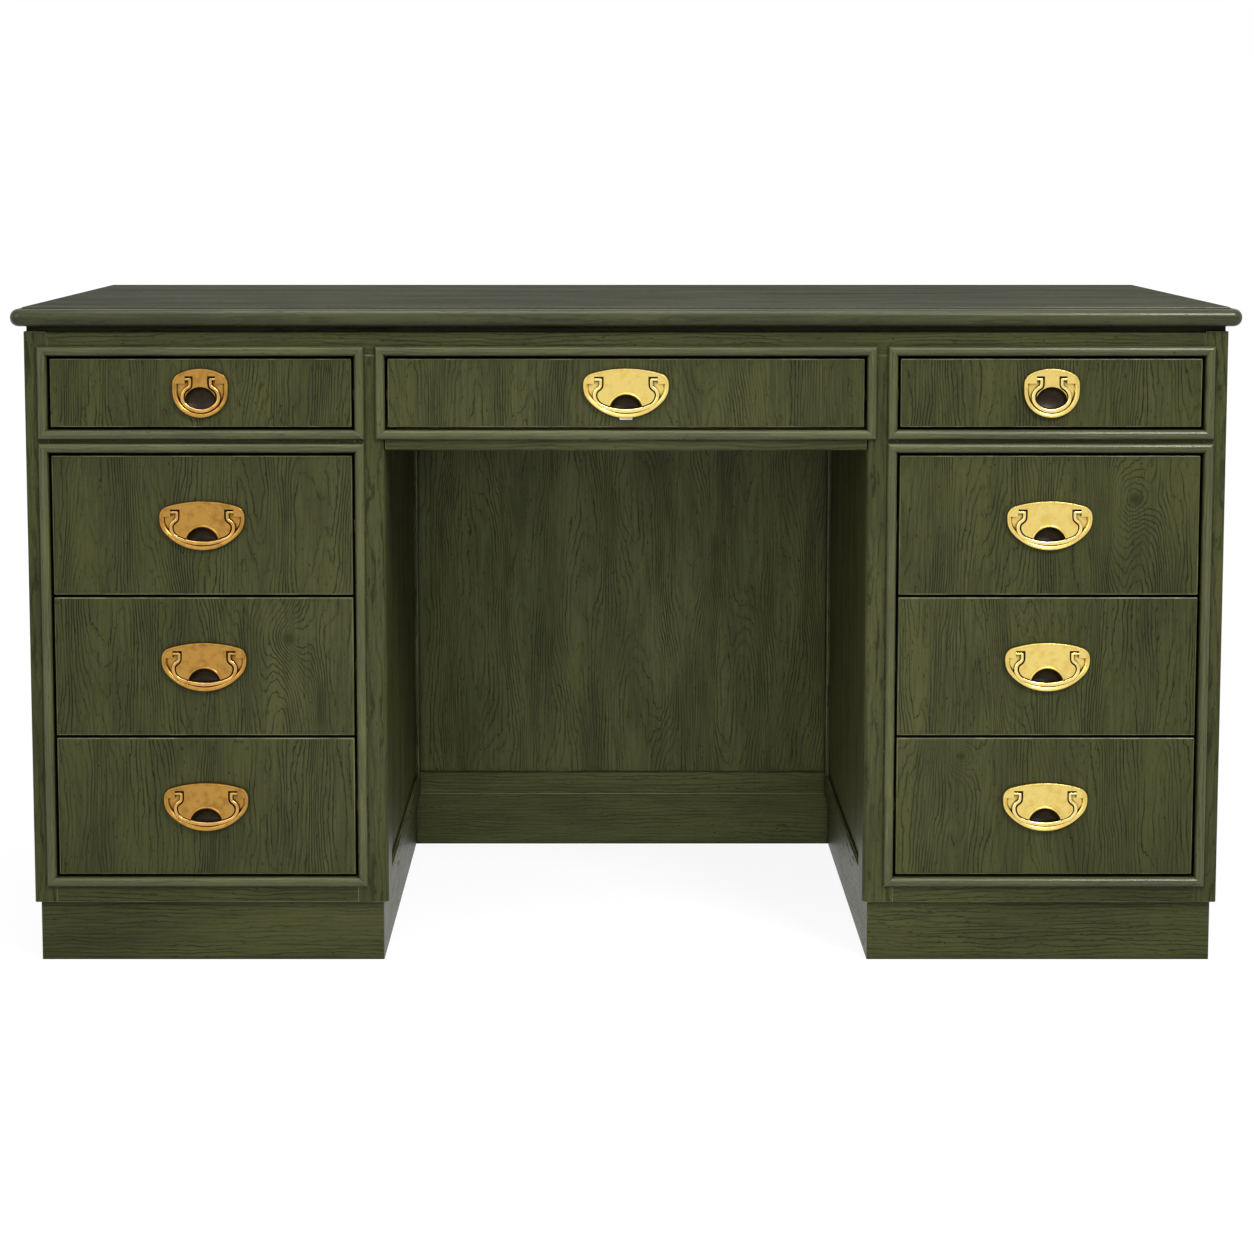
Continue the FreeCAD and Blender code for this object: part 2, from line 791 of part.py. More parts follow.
def plate_foot(pull, inset):
    """The right half of the lower part of the plate's outline, set in by inset."""
    sag = size.pull_facet_sag.number
    half_width = pull.plate_half_width.number
    rise = pull.side_height.number + pull.plate_half_height.number
    side_r = pull.side_radius.number
    foot_r, turn = quarter_oval(half_width, rise, side_r)
    foot_centre = (0.0, foot_r - pull.plate_half_height.number)
    side_centre = (half_width - side_r, pull.side_height.number)
    points = arc_points(foot_centre, foot_r - inset, DOWN, DOWN + turn, sag)
    points += arc_points(side_centre, side_r - inset, DOWN + turn, RIGHTWARDS, sag)
    return points + [(half_width - inset, pull.side_height.number)]


def plate_outline(pull, inset):
    """The whole outline of the plate, set in by inset. Its arcs are tangent, so they keep their centres."""
    sag = size.pull_facet_sag.number
    shoulder_r = pull.shoulder_radius.number
    shoulder_x = pull.plate_half_width.number - shoulder_r
    shoulder_z = pull.shoulder_height.number
    rise = pull.plate_half_height.number - shoulder_z
    crown_r = (shoulder_x**2 + rise**2 - shoulder_r**2) / (2 * (rise - shoulder_r))
    crown_centre = (0.0, pull.plate_half_height.number - crown_r)
    crown_turn = math.asin(shoulder_x / (crown_r - shoulder_r))
    points = plate_foot(pull, inset)
    points += arc_points((shoulder_x, shoulder_z), shoulder_r - inset, RIGHTWARDS, UP - crown_turn, sag)
    points += arc_points(crown_centre, crown_r - inset, UP - crown_turn, UP, sag)
    return mirrored_outline(points + [(0.0, crown_centre[1] + crown_r - inset)])


def bail_line(pull, inset, sag, top):
    """The right half of the swan-necked line of the bail, from its foot to the top of its neck, set in
    by inset on its inner side."""
    half_width = pull.bail_half_width.number
    side_z = pull.bail_side_height.number
    side_r = pull.bail_side_radius.number
    neck_x = pull.neck_half_width.number
    neck_z = pull.neck_foot_height.number
    bend_r = pull.neck_bend_radius.number
    foot_z = pull.bail_foot_height.number
    foot_r, turn = quarter_oval(half_width, side_z - foot_z, side_r)
    swing = 2 * math.atan((half_width - neck_x) / (neck_z - side_z))
    shoulder_r = (neck_z - side_z) / math.sin(swing) - bend_r
    side_centre = (half_width - side_r, side_z)
    shoulder_centre = (half_width - shoulder_r, side_z)
    bend_centre = (neck_x + bend_r, neck_z)
    points = arc_points((0.0, foot_z + foot_r), foot_r - inset, DOWN, DOWN + turn, sag)
    points += arc_points(side_centre, side_r - inset, DOWN + turn, RIGHTWARDS, sag)
    points += arc_points(shoulder_centre, shoulder_r - inset, RIGHTWARDS, swing, sag)
    points += arc_points(bend_centre, bend_r + inset, math.pi + swing, math.pi, sag)
    return points + [(neck_x - inset, neck_z), (neck_x - inset, top)]


def finger_foot(pull):
    """The height of the centre, and the radius, of the arc at the foot of the half-moon. It follows
    the plate's own foot."""
    rise = pull.side_height.number + pull.plate_half_height.number
    foot_r, _ = quarter_oval(pull.plate_half_width.number, rise, pull.side_radius.number)
    foot_z = foot_r - pull.plate_half_height.number
    return foot_z, foot_r - size.plate_rim_width.number - size.finger_rim.number


def finger_outline(pull):
    """The half-moon that fingers go into: an arch over an arc that follows the plate's foot."""
    sag = size.pull_facet_sag.number
    arch_z = pull.finger_centre_height.number
    arch_r = pull.finger_radius.number
    foot_z, foot_r = finger_foot(pull)
    gap = foot_z - arch_z
    cross_z = (arch_r**2 - foot_r**2 + gap**2) / (2 * gap) + arch_z
    cross_x = math.sqrt(arch_r**2 - (cross_z - arch_z) ** 2)
    arch_start = math.atan2(cross_z - arch_z, cross_x)
    foot_turn = math.asin(cross_x / foot_r)
    points = arc_points((0.0, foot_z), foot_r, DOWN, DOWN + foot_turn, sag)
    points += arc_points((0.0, arch_z), arch_r, arch_start, UP, sag)
    return mirrored_outline(points + [(0.0, arch_z + arch_r)])


def cup_outline(pull, margin):
    """The outline of the cup behind the half-moon, or of its mortise: straight sides and top over an
    arc that keeps it behind the plate's foot."""
    outline = finger_outline(pull)
    wall = margin + size.cup_wall.number
    reach = max(x for x, z in outline) + wall
    high = max(z for x, z in outline) + wall
    foot_z, foot_r = finger_foot(pull)
    foot_r += wall
    turn = math.asin(reach / foot_r)
    foot = arc_points((0.0, foot_z), foot_r, DOWN, DOWN + turn, size.pull_facet_sag.number)
    return mirrored_outline(foot + [(reach, foot_z - foot_r * math.cos(turn)), (reach, high)])


def drawer_front(name, middle, half_opening, bottom, height, pull):
    """The show board of a drawer, with the mortise for its pull's cup cut from the face."""
    label = f"{name}_drawer_front"
    body = solid_body(label)
    half_width = half_opening - size.front_gap
    half_height = height / 2
    corners = [
        (-half_width, -half_height),
        (half_width, -half_height),
        (half_width, half_height),
        (-half_width, half_height),
    ]
    face = polygon_sketch(body, f"{label}_face", "XZ_Plane", corners)
    extrude(body, "Pad", face, size.front_thickness, backwards=True)
    arrises = [{"y": ZERO, "x": x} for x in (-half_width, half_width)]
    arrises += [{"y": ZERO, "z": z} for z in (-half_height, half_height)]
    soften(body, "Chamfer", size.front_arris, *arrises)
    outline = cup_outline(pull, size.cup_clearance.number)
    mortise = outline_sketch(body, f"{label}_mortise", "XZ_Plane", outline)
    extrude(body, "Pocket", mortise, size.cup_depth + size.cup_wall + size.cup_clearance)
    move(body, x=middle, y=front_face, z=bottom + half_height)
    return body


def pull_plate(name, middle, bottom, height, pull):
    """The cast plate: a raised rim round a field, a recess that the bail lies in, a slot round each end
    of the bail, and a half-moon pocket for the fingers. Y is 0 at the face of the wood."""
    label = f"{name}_pull_plate"
    body = solid_body(label)
    proud = size.plate_proud
    plate = outline_sketch(body, f"{label}_outline", "XZ_Plane", plate_outline(pull, 0.0))
    extrude(body, "Pad", plate, proud)
    cup = outline_sketch(body, f"{label}_cup", "XZ_Plane", cup_outline(pull, 0.0))
    extrude(body, "Pad", cup, size.cup_depth + size.cup_wall, backwards=True)
    recess_depth = proud - size.plate_floor
    rim = size.plate_rim_width.number
    inside_rim = plate_outline(pull, rim)
    sunk = outline_sketch(body, f"{label}_sunk", "XZ_Plane", inside_rim, proud)
    extrude(body, "Pocket", sunk, size.field_drop)
    ledge_z = pull.shoulder_height.number
    foot = plate_foot(pull, rim) + [(pull.plate_half_width.number - rim, ledge_z)]
    recess = outline_sketch(body, f"{label}_recess", "XZ_Plane", mirrored_outline(foot), proud)
    extrude(body, "Pocket", recess, recess_depth)
    slot_in = pull.neck_half_width - size.bail_width / 2 - size.bail_side_gap
    slot_out = slot_in + pull.slot_width
    slot_top = pull.pivot_height + size.slot_headroom
    for side in (LEFT, RIGHT):
        corners = [
            (slot_in * side, pull.side_height),
            (slot_out * side, pull.side_height),
            (slot_out * side, slot_top),
            (slot_in * side, slot_top),
        ]
        slot = polygon_sketch(body, f"{label}_slot_{side + 1}", "XZ_Plane", corners, proud)
        extrude(body, "Pocket", slot, recess_depth)
    field_inset = size.bail_width.number / 2 + size.bail_side_gap.number
    field_line = bail_line(pull, field_inset, size.pull_facet_sag.number, ledge_z)
    field = outline_sketch(
        body, f"{label}_field", "XZ_Plane", mirrored_outline(field_line), size.plate_floor
    )
    extrude(body, "Pad", field, recess_depth - size.field_drop)
    finger = outline_sketch(body, f"{label}_finger", "XZ_Plane", finger_outline(pull), proud)
    extrude(body, "Pocket", finger, proud + size.cup_depth)
    notch_reach = size.pivot_radius + size.pivot_clearance
    for side in (LEFT, RIGHT):
        notch_end = slot_out + size.pivot_length + size.pivot_clearance
        corners = [
            (slot_out * side, pull.pivot_height - notch_reach),
            (notch_end * side, pull.pivot_height - notch_reach),
            (notch_end * side, pull.pivot_height + notch_reach),
            (slot_out * side, pull.pivot_height + notch_reach),
        ]
        notch = polygon_sketch(body, f"{label}_notch_{side + 1}", "XZ_Plane", corners)
        extrude(body, "Pocket", notch, size.pivot_to_wood + notch_reach, backwards=True)
    if name == "centre":
        half_lip = size.lip_width / 2
        lip_foot = -pull.plate_half_height - size.lip_drop
        lip_top = -pull.plate_half_height + size.plate_rim_width
        corners = [
            (-half_lip, lip_foot),
            (half_lip, lip_foot),
            (half_lip, lip_top),
            (-half_lip, lip_top),
        ]
        lip = polygon_sketch(body, f"{label}_lip", "XZ_Plane", corners)
        extrude(body, "Pad", lip, size.lip_thickness)
    move(body, x=middle, y=front_face, z=bottom + height / 2)
    return body


def pull_bail(name, middle, bottom, height, pull):
    """The swan-necked bail. Its ends carry round pivots that point outwards into the plate."""
    label = f"{name}_pull_bail"
    body = solid_body(label)
    bail_y = -size.pivot_to_wood
    half_width, half_thickness = size.bail_width / 2, size.bail_thickness / 2
    end_z = pull.pivot_height + size.bail_end_above_pivot
    right_half = bail_line(pull, 0.0, size.bail_facet_sag.number, end_z.number)
    left_half = [(-x, z) for x, z in right_half[1:]]
    centreline = outline_sketch(
        body, f"{label}_line", "XZ_Plane", right_half[::-1] + left_half, -bail_y, closed=False
    )
    bevel_share, crest_share = 0.6, 0.5
    neck_x = pull.neck_half_width
    corners = [
        (neck_x - half_width, bail_y + half_thickness),
        (neck_x + half_width, bail_y + half_thickness),
        (neck_x + half_width, bail_y - half_thickness * bevel_share),
        (neck_x + half_width * crest_share, bail_y - half_thickness),
        (neck_x - half_width * crest_share, bail_y - half_thickness),
        (neck_x - half_width, bail_y - half_thickness * bevel_share),
    ]
    section = polygon_sketch(body, f"{label}_section", "XY_Plane", corners, end_z)
    doc.recompute()
    sweep = body.newObject("PartDesign::AdditivePipe", f"{label}_sweep")
    sweep.Profile = section
    sweep.Spine = (centreline, [f"Edge{n}" for n in range(1, len(centreline.Geometry) + 1)])
    sweep.Transition = "Right corner"
    for side in (LEFT, RIGHT):
        length = pull.slot_width + size.pivot_length - size.bail_width / 2 - size.bail_side_gap
        centre = (bail_y, pull.pivot_height)
        pivot = circle_sketch(
            body, f"{label}_pivot_{side + 1}", "YZ_Plane", centre, size.pivot_radius, neck_x * side
        )
        extrude(body, "Pad", pivot, length, backwards=side == LEFT)
    move(body, x=middle, y=front_face, z=bottom + height / 2)
    return body


parts = [desktop(), neck_frame(), front_top_rail(), knee_rail(), back_rails(), pedestal_backs()]
parts += [knee_back(), knee_plinth(), centre_beads(), pedestal_shelves()]
for side_name, side in (("left", LEFT), ("right", RIGHT)):
    parts.append(side_frame(f"{side_name}_outer_frame", side, outer_post_face, carcass_half_width,
                            carcass_half_width, carcass_top))
    parts.append(side_frame(f"{side_name}_knee_frame", side, knee_half_width, inner_post_face,
                            knee_half_width, top_opening_top))
    parts.append(side_panels(f"{side_name}_side_panels", side))
    parts.append(pedestal_rails(f"{side_name}_front_rails", side))
    parts.append(pedestal_plinth(f"{side_name}_plinth", side))
    parts.append(pedestal_beads(f"{side_name}_beads", side))
parts.append(corner_blocks())
all_drawers = drawer_list()
parts.append(drawer_runners(all_drawers))
for name, middle, half_opening, bottom, height, depth, pattern in all_drawers:
    pull = SizeNames(f"{pattern}_")
    parts.append(drawer_front(name, middle, half_opening, bottom, height, pull))
    parts.append(drawer_box(name, middle, half_opening, bottom, height, depth))
    parts.append(pull_plate(name, middle, bottom, height, pull))
    parts.append(pull_bail(name, middle, bottom, height, pull))

doc.recompute()
for thing in doc.Objects:
    if "Invalid" in thing.State or "Error" in thing.State:
        raise RuntimeError(f"{thing.Label} failed: {thing.State}")
for part in parts:
    if part.Shape.isNull() or not part.Shape.isValid() or not part.Shape.Solids:
        raise RuntimeError(f"{part.Label} has no sound solid")

os.makedirs("parts", exist_ok=True)
for part in parts:
    part.Shape.exportStep(f"parts/{part.Label}.step")
print(f"{len(parts)} parts, {sum(len(part.Shape.Solids) for part in parts)} solids")
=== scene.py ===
import json
import math

import bmesh
import bpy
import numpy as np
from mathutils import Matrix, Vector

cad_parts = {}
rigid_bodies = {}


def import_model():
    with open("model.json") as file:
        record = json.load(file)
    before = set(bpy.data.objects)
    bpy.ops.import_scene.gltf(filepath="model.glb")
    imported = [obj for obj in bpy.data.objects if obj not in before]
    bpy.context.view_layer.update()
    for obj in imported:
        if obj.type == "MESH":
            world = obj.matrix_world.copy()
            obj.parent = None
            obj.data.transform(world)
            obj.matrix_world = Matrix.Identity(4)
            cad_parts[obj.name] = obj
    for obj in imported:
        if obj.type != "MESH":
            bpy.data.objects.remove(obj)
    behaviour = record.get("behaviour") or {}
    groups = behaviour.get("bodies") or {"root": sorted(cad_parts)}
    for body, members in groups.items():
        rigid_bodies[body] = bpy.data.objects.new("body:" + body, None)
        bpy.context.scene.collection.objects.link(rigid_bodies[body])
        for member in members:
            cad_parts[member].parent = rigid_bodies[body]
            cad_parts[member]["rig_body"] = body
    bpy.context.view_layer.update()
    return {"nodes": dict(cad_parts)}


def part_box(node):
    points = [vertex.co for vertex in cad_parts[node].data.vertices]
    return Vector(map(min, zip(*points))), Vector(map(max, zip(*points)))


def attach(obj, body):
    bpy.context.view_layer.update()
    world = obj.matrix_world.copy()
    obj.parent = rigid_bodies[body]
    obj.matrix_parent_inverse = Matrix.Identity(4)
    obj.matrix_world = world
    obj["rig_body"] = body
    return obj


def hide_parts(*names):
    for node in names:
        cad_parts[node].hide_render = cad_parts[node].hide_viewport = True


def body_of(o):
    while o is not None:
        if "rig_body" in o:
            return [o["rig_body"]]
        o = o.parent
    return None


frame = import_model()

# ---------------------------------------------------------------------------------------------
# Camera. The photograph is taken from in front, a little left of the middle and a little above the
# height of the desktop, with a long lens whose downward shift keeps the posts nearly upright.
camera_data = bpy.data.cameras.new("camera")
camera = bpy.data.objects.new("camera", camera_data)
bpy.context.scene.collection.objects.link(camera)
bpy.context.scene.camera = camera
FRAME_PIXELS, FOCAL_PIXELS, SHIFT_PIXELS = 1254, 2659, (24, -199)
SENSOR = 36.0
DOWNWARD = 5.642
camera_data.sensor_width = SENSOR
camera_data.lens = FOCAL_PIXELS / FRAME_PIXELS * SENSOR
camera_data.shift_x, camera_data.shift_y = (pixels / FRAME_PIXELS for pixels in SHIFT_PIXELS)
camera.location = (-0.0262, -3.302, 0.9221)
camera.rotation_euler = (math.radians(90 - DOWNWARD), 0, 0)
camera_data.clip_end = 100
bpy.context.scene.view_settings.view_transform = "Standard"

# ---------------------------------------------------------------------------------------------
# Studio. A pale floor that runs into a white surround, a lamp high on the right for the light along
# the nosing and the beads, a broad one on the left, one overhead, two low ones, of which one is
# narrowed to the kneehole, and a broad one behind.


def add(tree, kind, links=None, **settings):
    """Adds a node with its settings, and its inputs as values or as sockets to link from."""
    made = tree.nodes.new(kind)
    for name, value in settings.items():
        setattr(made, name, value)
    for socket, value in (links or {}).items():
        if isinstance(value, bpy.types.NodeSocket):
            tree.links.new(value, made.inputs[socket])
        else:
            made.inputs[socket].default_value = value
    return made


def srgb(code):
    """The linear colour of a hex code such as #4A4C2F."""
    parts = [int(code[n:n + 2], 16) / 255 for n in (1, 3, 5)]
    return [p / 12.92 if p <= 0.04045 else ((p + 0.055) / 1.055) ** 2.4 for p in parts] + [1.0]


def seen_directly(tree):
    """1 where the camera, a reflection or glass sees a surface, and 0 for its light on others."""
    path = add(tree, "ShaderNodeLightPath")
    either = add(tree, "ShaderNodeMath", {
        0: path.outputs["Is Camera Ray"], 1: path.outputs["Is Glossy Ray"]}, operation="MAXIMUM")
    any_of = add(tree, "ShaderNodeMath", {
        0: either.outputs[0], 1: path.outputs["Is Transmission Ray"]}, operation="MAXIMUM")
    return any_of.outputs[0]


WHITE = srgb("#FFFFFF")
SKY_LIGHT = 0.22
world = bpy.data.worlds.new("surround")
bpy.context.scene.world = world
world.use_nodes = True
world.node_tree.nodes.clear()
sky = add(world.node_tree, "ShaderNodeBackground", {"Color": WHITE, "Strength": SKY_LIGHT})
backdrop = add(world.node_tree, "ShaderNodeBackground", {"Color": WHITE, "Strength": 1.0})
surround = add(world.node_tree, "ShaderNodeMixShader", {
    0: seen_directly(world.node_tree), 1: sky.outputs[0], 2: backdrop.outputs[0]})
add(world.node_tree, "ShaderNodeOutputWorld", {"Surface": surround.outputs[0]})

# The paper lights the desk as a matt grey would. Seen directly it glows nearly white, and fully
# white further off, with a grey that takes the desk's shadow.
paper = bpy.data.materials.new("studio_paper")
paper.use_nodes = True
tree = paper.node_tree
tree.nodes.clear()
matt = add(tree, "ShaderNodeBsdfDiffuse", {"Color": srgb("#9C9C9A")})
far = add(tree, "ShaderNodeVectorMath", {0: add(tree, "ShaderNodeTexCoord").outputs["Object"]},
          operation="LENGTH")
glowing = add(tree, "ShaderNodeMapRange", {
    "Value": far.outputs["Value"], "From Min": 1.5, "From Max": 6.0, "To Min": 0.9})
glow = add(tree, "ShaderNodeEmission", {"Color": WHITE, "Strength": glowing.outputs[0]})
shade = add(tree, "ShaderNodeBsdfDiffuse", {"Color": srgb("#6F6F6F")})
lit = add(tree, "ShaderNodeAddShader", {0: glow.outputs[0], 1: shade.outputs[0]})
seen = add(tree, "ShaderNodeMixShader", {
    0: seen_directly(tree), 1: matt.outputs[0], 2: lit.outputs[0]})
add(tree, "ShaderNodeOutputMaterial", {"Surface": seen.outputs[0]})

FLOOR_REACH = 30.0
floor_shape = bmesh.new()
bmesh.ops.create_grid(floor_shape, x_segments=1, y_segments=1, size=FLOOR_REACH)
floor_mesh = bpy.data.meshes.new("studio_floor")
floor_shape.to_mesh(floor_mesh)
floor_shape.free()
studio_floor = bpy.data.objects.new("studio_floor", floor_mesh)
bpy.context.scene.collection.objects.link(studio_floor)
floor_mesh.materials.append(paper)

# Each lamp's place, the height over the middle of the floor that it points at, its size in metres,
# its power in watts, and its spread in degrees.
for name, place, aim, size, power, spread in (
    ("key", (1.5, -2.4, 2.9), 0.45, 0.9, 78, 180),
    ("fill", (-2.5, -2.8, 2.0), 0.45, 2.4, 30, 180),
    ("overhead", (-0.1, -0.8, 3.3), 0.45, 1.8, 44, 180),
    ("low", (0.0, -3.3, 0.5), 0.45, 0.8, 20, 180),
    ("kneehole", (0.0, -3.3, 0.4), 0.22, 0.3, 0.62, 17),
    ("back", (-1.4, 3.2, 1.5), 0.45, 2.4, 60, 180),
):
    lamp_data = bpy.data.lights.new(name, "AREA")
    lamp_data.size = size
    lamp_data.energy = power
    lamp_data.spread = math.radians(spread)
    lamp = bpy.data.objects.new(name, lamp_data)
    lamp.location = place
    lamp.rotation_euler = (Vector((0, 0, aim)) - Vector(place)).to_track_quat("-Z", "Y").to_euler()
    # The others would glare from the brass.
    lamp.visible_glossy = name in ("key", "fill", "overhead")
    bpy.context.scene.collection.objects.link(lamp)

# ---------------------------------------------------------------------------------------------
# Desktop. A solid oak slab with a half-round nosing, stained green, rubbed back and waxed. Its
# grain runs from left to right.
MM = 0.001
# The sizes of the oak's marks, in mm across and along the grain.
LONG_BENDS, SHORT_BENDS = (58, 330), (11, 48)  # in the rings
FRAYS = (3.2, 12)  # in the ring lines
FADES = (24, 100)  # where ring lines are faint, and where the stain is rubbed through
STREAKS, PATCHES = (1.8, 60), (46, 190)  # of deeper stain
PORES = (1.1, 8)  # real ones are 0.3 mm across, too fine for the render
WORM_CELLS = (52, 80)  # half of them have a worm hole
PROBE = 0.5  # mm between the places where rings are counted, which tells how close they lie
LINE_EDGE, LINE_CORE = 0.95, 0.2  # mm from the middle of a ring line
RING_TILT = 0.45  # into the board's thickness
SHORT_FIGURE = 1.9  # rings that a short bend moves
RING_DARK, PALER_BETWEEN = 0.84, 0.22  # of a ring line's core, and of the stain between lines
KNOT_WIDTH, KNOT_HEIGHT, KNOT_RINGS = 2.1, 2.7, 9.0  # in radii of its core, and rings that it moves


def scale_of(across, along):
    """What a place is multiplied by to give marks of a size in mm, across and along the grain."""
    return (1 / (across * MM), 1 / (across * MM), 1 / (along * MM))


def stained_oak(name, pale, deep, mark, pitch=6.0, figure=22.0, rough=0.38, gloss=0.12, knots=(),
                lines=1.0, worn=None):
    """Oak under stain and wax, which shows thin dark ring lines, ragged at their turns, short open
    pores and a few worm holes. It reads each board's own place, whose Z runs along the grain. Its
    rings lie a pitch in mm apart, and the figure is how many of them a long bend moves. A knot has
    a place across and along in mm, and the radius of its core. A worn colour, where one is given,
    shows in patches, as on an arris rubbed through the stain."""
    material = bpy.data.materials.new(name)
    material.use_nodes = True
    tree = material.node_tree
    shader = tree.nodes["Principled BSDF"]
    place = add(tree, "ShaderNodeAttribute", attribute_name="grain").outputs["Vector"]

    # The count of rings, at the place and a little across and along from it.
    counts = []
    for step in ((0, 0, 0), (PROBE * MM, 0, 0), (0, 0, PROBE * MM)):
        moved = add(tree, "ShaderNodeVectorMath", {0: place, 1: step}, operation="ADD").outputs[0]
        rings = add(tree, "ShaderNodeVectorMath", {
            0: moved, 1: (1 / (pitch * MM), RING_TILT / (pitch * MM), 0)},
            operation="DOT_PRODUCT").outputs["Value"]
        for bends, amount, detail in ((LONG_BENDS, figure, 1.0), (SHORT_BENDS, SHORT_FIGURE, 1.5)):
            drawn_out = add(tree, "ShaderNodeVectorMath", {0: moved, 1: scale_of(*bends)},
                            operation="MULTIPLY")
            wave = add(tree, "ShaderNodeTexNoise", {
                "Vector": drawn_out.outputs[0], "Scale": 1.0, "Detail": detail, "Roughness": 0.45})
            rings = add(tree, "ShaderNodeMath", {0: wave.outputs["Fac"], 1: amount, 2: rings},
                        operation="MULTIPLY_ADD").outputs[0]
        for across, along, radius in knots:
            from_knot = add(tree, "ShaderNodeVectorMath", {
                0: moved, 1: (across * MM, 0, along * MM)}, operation="SUBTRACT")
            oval = add(tree, "ShaderNodeVectorMath", {
                0: from_knot.outputs[0],
                1: (1 / (radius * KNOT_WIDTH * MM), 0, 1 / (radius * KNOT_HEIGHT * MM))},
                operation="MULTIPLY")
            reach = add(tree, "ShaderNodeVectorMath", {0: oval.outputs[0], 1: oval.outputs[0]},
                        operation="DOT_PRODUCT")
            fall = add(tree, "ShaderNodeMath", {0: reach.outputs["Value"], 1: 1.0}, operation="ADD")
            swirl = add(tree, "ShaderNodeMath", {0: KNOT_RINGS, 1: fall.outputs[0]},
                        operation="DIVIDE")
            rings = add(tree, "ShaderNodeMath", {0: swirl.outputs[0], 1: rings},
                        operation="ADD").outputs[0]
        counts.append(rings)

    # Ring lines. Each has the same width whether the rings are close or wide, and fades where they
    # are so wide that the board shows a flat patch.
    rises = [add(tree, "ShaderNodeMath", {0: end, 1: counts[0]}, operation="SUBTRACT").outputs[0]
             for end in counts[1:]]
    slope = add(tree, "ShaderNodeCombineXYZ", {0: rises[0], 1: rises[1], 2: 0.0})
    steep = add(tree, "ShaderNodeVectorMath", {0: slope.outputs[0]}, operation="LENGTH")
    crowded = add(tree, "ShaderNodeMath", {0: steep.outputs["Value"], 1: 1 / PROBE},
                  operation="MULTIPLY").outputs[0]
    ragged = add(tree, "ShaderNodeVectorMath", {0: place, 1: scale_of(*FRAYS)},
                 operation="MULTIPLY")
    frayed = add(tree, "ShaderNodeTexNoise", {
        "Vector": ragged.outputs[0], "Scale": 1.0, "Detail": 1.0, "Roughness": 0.5})
    total = add(tree, "ShaderNodeMath", {0: frayed.outputs["Fac"], 1: 0.5, 2: counts[0]},
                operation="MULTIPLY_ADD")
    phase = add(tree, "ShaderNodeMath", {0: total.outputs[0]}, operation="FRACT")
    off_line = add(tree, "ShaderNodeMath", {0: phase.outputs[0], 1: 0.5}, operation="SUBTRACT")
    away = add(tree, "ShaderNodeMath", {0: off_line.outputs[0]}, operation="ABSOLUTE").outputs[0]
    at_least = add(tree, "ShaderNodeMath", {0: crowded, 1: 0.01}, operation="MAXIMUM")
    in_mm = add(tree, "ShaderNodeMath", {0: away, 1: at_least.outputs[0]}, operation="DIVIDE")
    thin = add(tree, "ShaderNodeMapRange", {
        "Value": in_mm.outputs[0], "From Min": LINE_EDGE, "From Max": LINE_CORE},
        interpolation_type="SMOOTHSTEP")
    patchless = add(tree, "ShaderNodeMapRange", {
        "Value": crowded, "From Min": 0.02, "From Max": 0.075}, interpolation_type="SMOOTHSTEP")
    fade_place = add(tree, "ShaderNodeVectorMath", {0: place, 1: scale_of(*FADES)},
                     operation="MULTIPLY")
    fade = add(tree, "ShaderNodeTexNoise", {
        "Vector": fade_place.outputs[0], "Scale": 1.0, "Detail": 2.0, "Roughness": 0.6})
    faint = add(tree, "ShaderNodeMapRange", {
        "Value": fade.outputs["Fac"], "From Min": 0.36, "From Max": 0.62, "To Min": 0.25},
        interpolation_type="SMOOTHSTEP")
    line = add(tree, "ShaderNodeMath", {0: thin.outputs[0], 1: patchless.outputs[0]},
               operation="MULTIPLY")
    line = add(tree, "ShaderNodeMath", {0: line.outputs[0], 1: faint.outputs[0]},
               operation="MULTIPLY")
    line = add(tree, "ShaderNodeMath", {0: line.outputs[0], 1: RING_DARK * lines},
               operation="MULTIPLY")

    # The ground colour: streaks and patches of deeper stain, which is deepest beside a ring line.
    streak_place = add(tree, "ShaderNodeVectorMath", {0: place, 1: scale_of(*STREAKS)},
                       operation="MULTIPLY")
    streaks = add(tree, "ShaderNodeTexNoise", {
        "Vector": streak_place.outputs[0], "Scale": 1.0, "Detail": 2.0, "Roughness": 0.6})
    patch_place = add(tree, "ShaderNodeVectorMath", {0: place, 1: scale_of(*PATCHES)},
                      operation="MULTIPLY")
    patches = add(tree, "ShaderNodeTexNoise", {
        "Vector": patch_place.outputs[0], "Scale": 1.0, "Detail": 2.0, "Roughness": 0.55})
    dull = add(tree, "ShaderNodeMath", {0: streaks.outputs["Fac"], 1: patches.outputs["Fac"]},
               operation="ADD")
    dull = add(tree, "ShaderNodeMath", {0: away, 1: -PALER_BETWEEN, 2: dull.outputs[0]},
               operation="MULTIPLY_ADD")
    tone = add(tree, "ShaderNodeMapRange", {
        "Value": dull.outputs[0], "From Min": 0.56, "From Max": 1.3},
        interpolation_type="SMOOTHSTEP")
    ground = add(tree, "ShaderNodeMix", {0: tone.outputs[0], 6: srgb(pale), 7: srgb(deep)},
                 data_type="RGBA").outputs[2]
    if worn:
        through = add(tree, "ShaderNodeMapRange", {
            "Value": fade.outputs["Fac"], "From Min": 0.42, "From Max": 0.66, "To Min": 0.25},
            interpolation_type="SMOOTHSTEP")
        ground = add(tree, "ShaderNodeMix", {0: through.outputs[0], 6: ground, 7: srgb(worn)},
                     data_type="RGBA").outputs[2]

